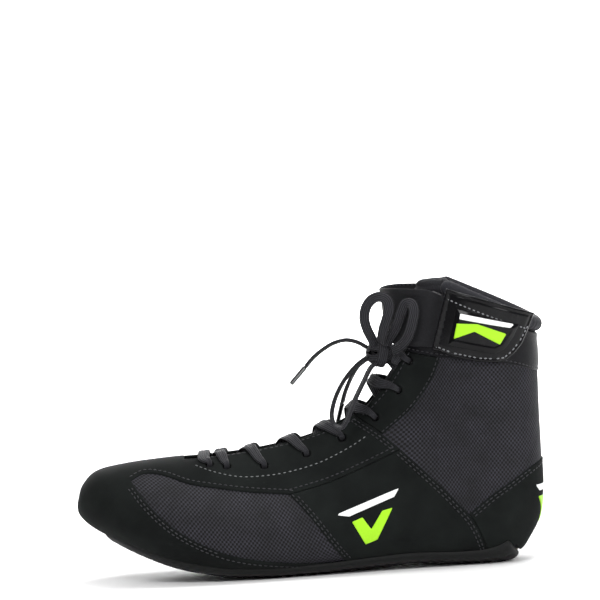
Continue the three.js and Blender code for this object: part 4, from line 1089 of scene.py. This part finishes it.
TONGUE_ROOT, TONGUE_TOP = 4.6, 20.9
stations = np.linspace(TONGUE_ROOT, TONGUE_TOP, 170)
TONGUE_COLUMNS = 60
shares = np.sin(np.linspace(-1, 1, TONGUE_COLUMNS) * np.pi / 2)
tip_round = np.clip((TONGUE_TOP - stations) / 0.75, 0.0, 1)
tongue_half = (throat_half(np.minimum(stations, TOP)) + 6) * (0.45 + 0.55 * np.sqrt(1 - (1 - tip_round) ** 2))
across = tongue_half[:, None] * shares[None, :]
along = np.repeat(stations[:, None], TONGUE_COLUMNS, 1)
rise = np.clip((along - 16) / (TONGUE_TOP - 16), 0, 1)
swell = 13 * rise ** 2 * (3 - 2 * rise) * np.clip(1 - (across / (tongue_half[:, None] - 9)) ** 2, 0, None)
quilting = 0.35 * np.sin(along * 2.1) * np.cos(across / 9)
surface = place_at(along, across, -10.4 + quilting)[0]
surface[..., 0] -= swell
up_run = run_length(surface[:, TONGUE_COLUMNS // 2])[:, None]
from_edge = np.minimum(tongue_half[:, None] - np.abs(across), np.minimum(up_run, up_run[-1] - up_run))
bound = 4.9 + 0.7 * np.exp(-((from_edge - 1.6) / 1.5) ** 2) - 0.9 * np.exp(-((from_edge - 4.2) / 0.8) ** 2)
tongue_textile = textile_material("tongue textile", "#0f0f11", "#232327", 0.9)
points, faces, uvs = sheet_mesh(surface[:, ::-1], bound[:, ::-1],
                                np.stack(np.broadcast_arrays(up_run, across), -1), from_edge[:, ::-1])
tongue = new_object("tongue_padded", points, faces, tongue_textile, uvs)
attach(tongue, "boot")
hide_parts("tongue")

# ------------------------------------------------------------------ ankle strap
# A band of close polyester webbing with turned and stitched edges, sewn to the inner side of the cuff. It
# passes over the tongue behind the bow, and its outer end carries the patch, which hook-and-loop holds to the
# cuff.
STRAP_SEWN = 112.0
STRAP_FOLD = 88.0
STRAP_THICK = 1.2
STRAP_LOW = [(66, 27, 138.6), (58, 19.5, 139.6), (52, 11, 140.6), (49.6, 0, 141)]
STRAP_HIGH = [(79, 34, 172.6), (67, 30, 174.2), (55.5, 20.5, 174.6), (49, 0, 174)]
side_rows = {side: grid_rows(one_side(whole, side))[0] for side in (-1, 1)}


def on_side(points, side, level):
    """The vertex rows of one side of the last, raised to a level, that lie at these places in side view.
    Where the side does not reach a place, the row is the nearest one."""
    rows = side_rows[side]
    raised = rows[:, :3] + rows[:, 3:6] * level
    found = []
    for x, z in points:
        away = np.hypot(raised[:, 0] - x, raised[:, 2] - z)
        best = rows[np.argmin(away)].copy()
        place = best[:3] + best[3:6] * level
        if abs(best[4]) > 0.25 and away.min() < 1.5:
            step_y = -(best[3] * (x - place[0]) + best[5] * (z - place[2])) / best[4]
            place = np.array([x, place[1] + step_y, z])
        best[:3] = place
        found.append(best)
    return np.array(found)


def strap_edge(front, z, lean, count):
    level = 2.9
    inner = on_side([(x, z - 0.35 * max(x - 85, 0)) for x in (STRAP_SEWN, 103, 94, 85 + lean * 1.6)], 1,
                    level)[:, :3]
    outer = on_side([(x + lean * 1.5, z) for x in (STRAP_FOLD - 7, STRAP_FOLD - 1)], -1, level)[:, :3]
    front = np.array([(x - 0.9, y + (0.9 if y else 0), height) for x, y, height in front])
    return spline(np.concatenate([inner, front, front[-2::-1] * [1, -1, 1], outer]), count)


low = strap_edge(STRAP_LOW, 138, -3.5, 320)
high = strap_edge(STRAP_HIGH, 171.6, 3.5, 320)
share = np.concatenate([[0, 0.006, 0.016, 0.03], np.linspace(0.05, 0.95, 42), [0.97, 0.984, 0.994, 1]])
surface = low[:, None] * (1 - share[None, :, None]) + high[:, None] * share[None, :, None]
outwards = unit(np.cross(np.gradient(surface, axis=1), np.gradient(surface, axis=0)))
width = np.linalg.norm(high - low, axis=1)[:, None]
run = run_length((low + high) / 2)[:, None]
hem = np.minimum(share, 1 - share)[None, :] * width
ripple = 0.22 * np.sin(run / 6.5 + 3 * share[None, :]) * np.sin(np.pi * share[None, :]) * (run > 20)
bulge = 0.7 * np.sin(np.pi * share[None, :]) + ripple
fold = -0.25 * np.exp(-((hem - 3.2) / 0.7) ** 2)
surface = surface + outwards * (bulge + fold)[..., None]
ends = np.minimum(run, run[-1] - run)
from_edge = np.minimum(hem, ends)
webbing_uv = np.stack(np.broadcast_arrays(run, share[None, :] * width), -1)


def webbing_material():
    # Close-woven polyester webbing: fine slanting twill lines, dull, a touch violet.
    material, tree, shader = new_material("polyester webbing")
    uv = node(tree, "ShaderNodeUVMap", {"uv_map": "mm"})
    parts = node(tree, "ShaderNodeSeparateXYZ", inputs={0: uv.outputs[0]})
    slant = maths(tree, "MULTIPLY_ADD", parts.outputs["Y"], 1.6, parts.outputs["X"])
    twill = maths(tree, "MULTIPLY", slant, 2 * math.pi / 1.0)
    lines = maths(tree, "SINE", twill)
    fuzz = noise(tree, 1100.0, 3.0)
    tone = maths(tree, "MULTIPLY_ADD", lines, 0.14, fuzz.outputs[0])
    coloured(tree, shader, tone, "#070709", "#18181c")
    bumped(tree, shader, tone, 0.5, 0.0002)
    set_values(shader, {"Roughness": 0.75, "Specular IOR Level": 0.2, "Sheen Weight": 0.06})
    return material


points, faces, uvs = sheet_mesh(surface[:, ::-1], np.broadcast_to(STRAP_THICK, from_edge.shape),
                                webbing_uv[:, ::-1], from_edge[:, ::-1])
strap = new_object("strap_band_webbing", points, faces, webbing_material(), uvs)
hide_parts("strap_band")
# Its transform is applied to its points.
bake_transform(strap)

# ------------------------------------------------------------------ hook-and-loop pads
# Two die-cut pads of nylon tape, the loop one sewn to the cuff and the hook one to the back of the patch.
PAD = [(95.5, 161), (90, 141), (114, 135.6), (124, 141), (129, 148)]
strap_grid = last_grid(14.5, TOP + 0.8, 160, -1, 190)
for name, low_level, high_level, body, dark, light in (
        ("strap_loop_pad", 1.9, 2.65, "boot", "#101013", "#2c2c31"),
        ("strap_hook_pad", 3.0, 3.75, "strap_end", "#0c0c0e", "#222226")):
    pad = panel(name + "_nylon", strap_grid, [inside_of(PAD, 3)], high_level, low_level,
                textile_material(name.replace("_", " "), dark, light, 0.6),
                lambda data, inside: 0.12 * np.sin(data[:, 0] * 7) * np.sin(data[:, 2] * 7) - 0.1)
    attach(pad, body)
    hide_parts(name)

# ------------------------------------------------------------------ strap patch
# Glossy patent leather on the strap's end, with a piped front edge and a sewn border.
PATCH = [(88.6, 173.6), (77.4, 136.7), (89.5, 131.6), (104.9, 127.6), (116, 126.4), (122.3, 127), (128, 131),
         (133.5, 137), (142.6, 154.6)]
PATCH_FRONT = [(88.6, 173.6), (77.4, 136.7)]


def patent_material(name, shade, roughness):
    # Patent leather: black under a thick clear film, with the faint orange-peel waviness such films have.
    material, tree, shader = new_material(name)
    peel = noise(tree, 90.0, 1.0)
    coloured(tree, shader, peel.outputs[0], "#020203", shade)
    bumped(tree, shader, peel.outputs[0], 0.06, 0.0004)
    set_values(shader, {"Roughness": roughness, "Specular IOR Level": 0.17})
    return material


def line_distance(points, line):
    """Distance in side view from an open line."""
    p = points[:, [0, 2]]
    best = np.full(len(p), 1e9)
    for a, b in zip(np.array(line[:-1], float), np.array(line[1:], float)):
        t = np.clip(((p - a) @ (b - a)) / ((b - a) @ (b - a)), 0, 1)
        best = np.minimum(best, np.linalg.norm(p - a - t[:, None] * (b - a), axis=1))
    return best


def patch_relief(data, inside):
    """A rolled bead along the front edge, a groove under the border stitches, and a slight cushion within."""
    front = line_distance(data[:, :3] + data[:, 3:6] * 4.7, PATCH_FRONT)
    bead = 1.1 * np.sqrt(np.clip(1 - ((front - 1.5) / 1.5) ** 2, 0, None))
    groove = -0.3 * np.exp(-((inside - 2.3) / 0.7) ** 2)
    rim = 0.25 * np.exp(-((inside - 1.1) / 0.6) ** 2)
    return bead + groove + rim


patent = patent_material("black patent leather", "#131315", 0.16)
patch = panel("strap_patch_patent", strap_grid, [inside_of(PATCH, 4.7)], 5.3, 4.0, patent, patch_relief,
              edge_steps=(0.3, 0.9, 1.8, 2.8))
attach(patch, "strap_end")
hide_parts("strap_patch")

# ------------------------------------------------------------------ badge and its marks
# A moulded glossy badge with a wide bevel, and on it a white bar over a green chevron, in raised film.
BADGE = [(94, 161), (87.4, 138.6), (116, 131.6), (122.4, 134.4), (128, 141.4), (132, 148.6)]
badge_finish = patent_material("moulded badge", "#0d0d0f", 0.1)


def bevel(data, inside):
    """A flat face framed by a sloping bevel and a raised inner lip."""
    return 0.9 * np.clip(inside / 2.6, 0, 1) + 0.3 * np.exp(-((inside - 3.2) / 0.5) ** 2) - 0.35


badge = panel("strap_badge_moulded", strap_grid, [inside_of(BADGE, 6.3)], 6.9, 5.35, badge_finish, bevel,
              edge_steps=(0.4, 1.4, 2.6, 3.6), edge_drop=0.2)
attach(badge, "strap_end")
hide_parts("strap_badge")


def film_material(name, hex_code):
    # Heat-pressed polyurethane film: an even colour with a soft shine and a very fine grain.
    material, tree, shader = new_material(name)
    grain = noise(tree, 900.0, 2.0)
    full = linear(hex_code)
    shade = [0.86 * c for c in full[:3]] + [1.0]
    mix = node(tree, "ShaderNodeMix", {"data_type": "RGBA"}, {0: grain.outputs[0], 6: shade, 7: full})
    tree.links.new(mix.outputs[2], shader.inputs["Base Color"])
    bumped(tree, shader, grain.outputs[0], 0.1, 0.0001)
    set_values(shader, {"Roughness": 0.4, "Specular IOR Level": 0.3})
    return material


white_film = film_material("white film", "#f0f1f0")
green_film = film_material("green film", "#9fdc1c")
BADGE_BAR = [(96, 158), (95, 154.6), (126, 147.2), (128.6, 149.4)]
BADGE_CHEVRON = [(93.4, 152), (91, 142.6), (104, 146.4), (119, 137.4), (123.4, 143.8), (106, 151)]
for name, outline, finish, film_slot in (("badge_bar", BADGE_BAR, white_film, "white_film"),
                                         ("badge_chevron", BADGE_CHEVRON, green_film, "green_film")):
    mark = panel(name + "_film", strap_grid, [inside_of(outline, 7.4)], 8.25, 7.3, finish,
                 edge_steps=(0.25, 0.6))
    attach(mark, "strap_end")
    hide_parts(name)

# ------------------------------------------------------------------ emblems on the quarters and the heel
# The same bar and chevron in heat-pressed film: one pair low on each quarter, one pair across the heel.
BAR = [(12.1, 38.4), (20.4, 36.9), (49, 47.1), (52.2, 52.2)]
CHEVRON = [(22, 33.5), (29.6, 18.9), (37, 21.5), (47.6, 40.5), (41, 39.1), (33.6, 28.1), (28.6, 35.9)]
HEEL_BAR = [(-22, 47.5), (22, 47.5), (17, 43.5), (-17, 43.5)]
HEEL_CHEVRON = [(-18, 40), (-9, 40), (0, 31), (9, 40), (18, 40), (0, 22.5)]


def waves_of_panel(data, inside):
    return soft_waves(data, np.full(len(data), 8.0))


marks = []
for side_name, side in (("outer", -1), ("inner", 1)):
    low_side = last_grid(7.5, 13.5, 130, side, 170)
    marks += [("emblem_bar_" + side_name, low_side, inside_of(BAR, 2), white_film, "white_film"),
              ("emblem_chevron_" + side_name, low_side, inside_of(CHEVRON, 2), green_film, "green_film")]
HEEL_COLUMNS = 150
heel_grid = two_sided_grid(12.6, 17.4, 90, HEEL_COLUMNS)
heel_grid = {k: np.roll(v[:, :-1], HEEL_COLUMNS - 1, axis=1) for k, v in heel_grid.items()}
marks += [("heel_bar", heel_grid, inside_of(HEEL_BAR, 2, (1, 2)), white_film, "white_film"),
          ("heel_chevron", heel_grid, inside_of(HEEL_CHEVRON, 2, (1, 2)), green_film, "green_film")]
for name, grid, edge, finish, film_slot in marks:
    edges = [edge] if name.startswith("emblem") else [edge, lambda data: data[:, 0] - 100]
    mark = panel(name + "_film", grid, edges, 2.35, 1.4, finish, waves_of_panel, edge_steps=(0.2, 0.5),
                 edge_drop=0.3)
    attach(mark, "boot")
    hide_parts(name)

# ------------------------------------------------------------------ stitching
# Polyester thread in lockstitch along every seam: each stitch is a short capsule laid on the panel it closes.
# The thread is black but for the vamp's single row, whose thread is lighter, and the patch's border, whose
# dark thread is painted grey as a painted highlight of its glints.
STITCH_PITCH = 3.4


def beside(line, away):
    """A side-view line moved sideways."""
    line = np.asarray(line, float)
    along = unit(np.gradient(line, axis=0))
    return line + np.stack([-along[:, 1], along[:, 0]], -1) * away


def even(rows, pitch):
    """Rows at an even spacing along a line of rows, with the way the line runs."""
    run = run_length(rows)
    at = np.arange(pitch / 2, run[-1], pitch)
    spaced = np.stack([np.interp(at, run, rows[:, k]) for k in range(rows.shape[1])], -1)
    along = np.stack([np.interp(at + 0.4, run, rows[:, k]) - np.interp(at - 0.4, run, rows[:, k])
                      for k in range(3)], -1)
    return spaced, unit(along)


def stitch_row(line, side, level, edges, pitch=STITCH_PITCH, clear=0.6):
    """Places, ways and facings of the stitches along a side-view line, where it lies inside all the edges."""
    line = np.asarray(line, float)
    run = run_length(line)
    at = np.arange(0, run[-1], 1.0)
    dense = np.stack([np.interp(at, run, line[:, k]) for k in (0, 1)], -1)
    rows = on_side(dense, side, level)
    jumps = np.linalg.norm(np.diff(rows[:, :3], axis=0), axis=1)
    rows = rows[np.concatenate([[True], jumps < 4])]
    spaced, along = even(rows, pitch)
    kept = np.ones(len(spaced), bool)
    base = spaced.copy()
    base[:, :3] -= base[:, 3:6] * level
    for edge in edges:
        kept &= edge(base) > clear
    return spaced[kept, :3], along[kept], unit(spaced[kept, 3:6])


def stitch_tree():
    """Geometry nodes that lay one capsule on each point, along its way and facing out."""
    tree = bpy.data.node_groups.new("stitches", "GeometryNodeTree")
    tree.interface.new_socket("Geometry", in_out="INPUT", socket_type="NodeSocketGeometry")
    for name in ("Length", "Width", "Height"):
        tree.interface.new_socket(name, in_out="INPUT", socket_type="NodeSocketFloat")
    tree.interface.new_socket("Thread", in_out="INPUT", socket_type="NodeSocketMaterial")
    tree.interface.new_socket("Geometry", in_out="OUTPUT", socket_type="NodeSocketGeometry")
    given = node(tree, "NodeGroupInput")
    capsule = node(tree, "GeometryNodeMeshUVSphere", inputs={"Segments": 8, "Rings": 6, "Radius": 0.5})
    size = node(tree, "ShaderNodeCombineXYZ", inputs={0: given.outputs["Length"], 1: given.outputs["Width"],
                                                      2: given.outputs["Height"]})
    shaped = node(tree, "GeometryNodeTransform", inputs={"Geometry": capsule.outputs["Mesh"],
                                                         "Scale": size.outputs[0]})
    along = node(tree, "GeometryNodeInputNamedAttribute", {"data_type": "FLOAT_VECTOR"}, {"Name": "along"})
    out = node(tree, "GeometryNodeInputNamedAttribute", {"data_type": "FLOAT_VECTOR"}, {"Name": "out"})
    turn = node(tree, "FunctionNodeAxesToRotation", {"primary_axis": "X", "secondary_axis": "Z"},
                {0: along.outputs[0], 1: out.outputs[0]})
    laid = node(tree, "GeometryNodeInstanceOnPoints", inputs={
        "Points": given.outputs["Geometry"], "Instance": shaped.outputs[0], "Rotation": turn.outputs[0]})
    real = node(tree, "GeometryNodeRealizeInstances", inputs={0: laid.outputs[0]})
    thread = node(tree, "GeometryNodeSetMaterial", inputs={"Geometry": real.outputs[0],
                                                           "Material": given.outputs["Thread"]})
    node(tree, "NodeGroupOutput", inputs={"Geometry": thread.outputs[0]})
    return tree


def thread_material(name, dark, light):
    # Twisted polyester thread: fine slanting strands with a dull shine.
    material, tree, shader = new_material(name)
    coords = node(tree, "ShaderNodeTexCoord")
    twist = node(tree, "ShaderNodeTexWave", inputs={"Vector": coords.outputs["Object"], "Scale": 900.0,
                                                    "Distortion": 1.5})
    coloured(tree, shader, twist.outputs[0], dark, light)
    set_values(shader, {"Roughness": 0.5, "Specular IOR Level": 0.35})
    return material


stitching = stitch_tree()


def sewn(name, rows, body, thread, length=2.3, width=0.8, height=0.7):
    """One mesh of stitches from many rows of (places, ways, facings)."""
    places, ways, facings = (np.concatenate([row[k] for row in rows]) for k in range(3))
    mesh = bpy.data.meshes.new(name + "_points")
    mesh.from_pydata((places * MM).tolist(), [], [])
    for label, values in (("along", ways), ("out", facings)):
        attribute = mesh.attributes.new(label, "FLOAT_VECTOR", "POINT")
        attribute.data.foreach_set("vector", values.astype(np.float32).ravel())
    carrier = bpy.data.objects.new(name + "_points", mesh)
    bpy.context.collection.objects.link(carrier)
    modifier = carrier.modifiers.new("stitches", "NODES")
    modifier.node_group = stitching
    values = {"Length": length * MM, "Width": width * MM, "Height": height * MM, "Thread": thread}
    for item in stitching.interface.items_tree:
        if item.in_out == "INPUT" and item.name in values:
            modifier[item.identifier] = values[item.name]
    evaluated = carrier.evaluated_get(bpy.context.evaluated_depsgraph_get())
    made = bpy.data.objects.new(name, bpy.data.meshes.new_from_object(evaluated))
    made.data.polygons.foreach_set("use_smooth", [True] * len(made.data.polygons))
    bpy.context.collection.objects.link(made)
    bpy.data.objects.remove(carrier)
    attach(made, body)
    return made


black_thread = thread_material("black thread", "#0a0a0c", "#2e2e33")
grey_thread = thread_material("grey thread", "#4a4c4d", "#777a7a")
# Painted highlight: the patch's border thread is dark, and these greys paint its glints into its colour.
patch_thread_painted_glints = thread_material("patch thread with painted glints", "#47484b", "#8e9093")
VAMP_STITCH = smooth_line([(-73.2, 72.4), (-61, 68), (-45.6, 64.5), (-30, 64.2), (-14.3, 65.8), (4.7, 70.3),
                           (23.9, 78.5), (36, 85.5)])
vamp_edges = [outside_of(ANKLE_SIDE), outside_of(WINDOW), outside_of(QUARTER), off_throat, off_sole,
              off_holes]
quarter_edges = [outside_of(ANKLE_SIDE), inside_of(QUARTER), off_sole]
facing_edges = [inside_of(ANKLE_SIDE), inside_of(BEFORE_FACING_SEAM), outside_of(ABOVE_COLLAR_SEAM),
                off_throat]
heel_edges = [inside_of(ANKLE_SIDE), inside_of(BELOW_HEEL_SEAM), off_sole]
cuff_edges = [inside_of(ANKLE_SIDE), inside_of(ABOVE_COLLAR_SEAM), off_throat]
ON = NUBUCK_OUT + 0.05
TWO_ROWS_EACH_SIDE = (-3.6, -1.7, 1.7, 3.6)
seam_rows, vamp_rows = [], []
for side in (-1, 1):
    for line, level, edges, offsets in (
            (WINDOW + WINDOW[:1], ON + OVERLAP, vamp_edges, TWO_ROWS_EACH_SIDE),
            (QUARTER_TOP, ON + OVERLAP, vamp_edges, TWO_ROWS_EACH_SIDE),
            (WINDOW_BACK, ON, quarter_edges, TWO_ROWS_EACH_SIDE),
            (ANKLE_SEAM, ON, quarter_edges, TWO_ROWS_EACH_SIDE),
            (ANKLE_SEAM, ON + OVERLAP, vamp_edges, TWO_ROWS_EACH_SIDE),
            (HEEL_SEAM, ON, heel_edges, TWO_ROWS_EACH_SIDE),
            (FACING_SEAM, ON, facing_edges, (-1.9, 1.9)),
            (COLLAR_SEAM, ON - 0.2, cuff_edges, (-1.9, 1.9))):
        for away in offsets:
            seam_rows.append(stitch_row(beside(line, away), side, level, edges, clear=1.0))
    vamp_rows.append(stitch_row(VAMP_STITCH, side, ON + OVERLAP, [off_throat]))
    for first, last, edges, lift in ((6.2, 19, facing_edges, 0.0), (5.8, 16, vamp_edges, OVERLAP)):
        stations = np.linspace(first, last, 160)
        y = side * (throat_half(stations) + 2.4)
        place, faces = place_at(stations, y, np.full(160, ON + lift))
        rows = np.concatenate([place, faces, np.zeros((160, 2)), stations[:, None]], -1)
        spaced, along = even(rows, STITCH_PITCH)
        base = spaced.copy()
        base[:, :3] -= base[:, 3:6] * (ON + lift)
        kept = np.min([edge(base) for edge in edges], axis=0) > 0.9
        seam_rows.append((spaced[kept, :3], along[kept], unit(spaced[kept, 3:6])))
sewn("seam_stitches", seam_rows, "boot", black_thread)
sewn("vamp_stitches", vamp_rows, "boot", grey_thread, length=2.0, width=0.75)

border = PATCH[1:] + PATCH[:1]
inner_border = beside(np.array(border + border[:1]), 2.3)
patch_rows = [stitch_row(line, -1, 5.25, [inside_of(PATCH, 4.7)], pitch=3.0, clear=1.6)
              for line in (np.array([a, b]) for a, b in zip(inner_border[:-1], inner_border[1:]))]
# The patch's border stitches take the thread with painted glints.
sewn("patch_stitches", patch_rows, "strap_end", patch_thread_painted_glints, length=1.9, width=0.95, height=0.8)

# Stitches along the strap's turned edges, on its outer face.
hem_rows = []
for column in (3, len(share) - 4):
    line = surface[18:-26, column] + outwards[18:-26, column] * (STRAP_THICK / 2)
    rows = np.concatenate([line, outwards[18:-26, column]], -1)
    spaced, along = even(rows, 3.0)
    hem_rows.append((spaced[:, :3], along, unit(spaced[:, 3:6])))
sewn("strap_stitches", hem_rows, "boot", black_thread, length=2.0, width=0.6, height=0.5)

# ------------------------------------------------------------------ boards and footbed, as in the plain model
# Fibre board stiffeners at the toe, heel and under the foot, and a foam footbed covered in textile.


def board_material():
    # Pressed cellulose board: grey-brown flecks on a dull face.
    material, tree, shader = new_material("fibre board")
    fleck = noise(tree, 500.0, 5.0)
    coloured(tree, shader, fleck.outputs[0], "#4b433a", "#8d8273")
    bumped(tree, shader, fleck.outputs[0], 0.4, 0.0002)
    shader.inputs["Roughness"].default_value = 0.9
    return material


fibre_board = board_material()
footbed = textile_material("footbed textile", "#121214", "#2b2b30", 1.1)
for name, finish, finish_slot in (("lasting_board", fibre_board, "fibre_board"),
                                  ("toe_puff", fibre_board, "fibre_board"),
                                  ("heel_counter", fibre_board, "fibre_board"),
                                  ("insole", footbed, "footbed_foam")):
    part = bpy.data.objects[name]
    part.data.materials.clear()
    part.data.materials.append(finish)

# ------------------------------------------------------------------ stage
# A pale floor that curves up into a backdrop, with soft studio light from above and both sides.
FLOOR_BACK = 3.6
BEND = 0.9
floor_material, tree, shader = new_material("pale paper sweep")
shader.inputs["Base Color"].default_value = linear("#f6f6f6")
shader.inputs["Roughness"].default_value = 0.9
bend = [(FLOOR_BACK + BEND * math.sin(a), BEND - BEND * math.cos(a)) for a in np.linspace(0, math.pi / 2, 12)]
profile = [(-FLOOR_BACK, 0.0)] + bend + [(FLOOR_BACK + BEND, 4.0)]
floor_points = [(x / MM, y / MM, z / MM) for y, z in profile for x in (-FLOOR_BACK, FLOOR_BACK)]
floor_faces = [(2 * i, 2 * i + 1, 2 * i + 3, 2 * i + 2) for i in range(len(profile) - 1)]
floor = new_object("floor", floor_points, floor_faces, floor_material)
world = bpy.data.worlds.new("studio")
bpy.context.scene.world = world
world.use_nodes = True
world.node_tree.nodes["Background"].inputs[0].default_value = linear("#ffffff")
world.node_tree.nodes["Background"].inputs[1].default_value = 0.25
aims = {"sweep": (0, 4.2, 0.9)}
for name, place, size, power in (
        ("key", (-0.5, -1.8, 1.7), 1.0, 30), ("fill", (1.5, -1.5, 1.0), 1.0, 26),
        ("top", (0.3, 0.1, 2.0), 1.2, 34), ("sweep", (0.0, 2.6, 2.6), 2.5, 420)):
    light_data = bpy.data.lights.new(name, "AREA")
    light_data.size = size
    light_data.energy = power
    light = bpy.data.objects.new(name, light_data)
    light.location = place
    aim = Vector(aims.get(name, (0, 0, 0.08))) - Vector(place)
    light.rotation_euler = aim.to_track_quat("-Z", "Y").to_euler()
    bpy.context.collection.objects.link(light)
bpy.context.scene.view_settings.view_transform = "Standard"
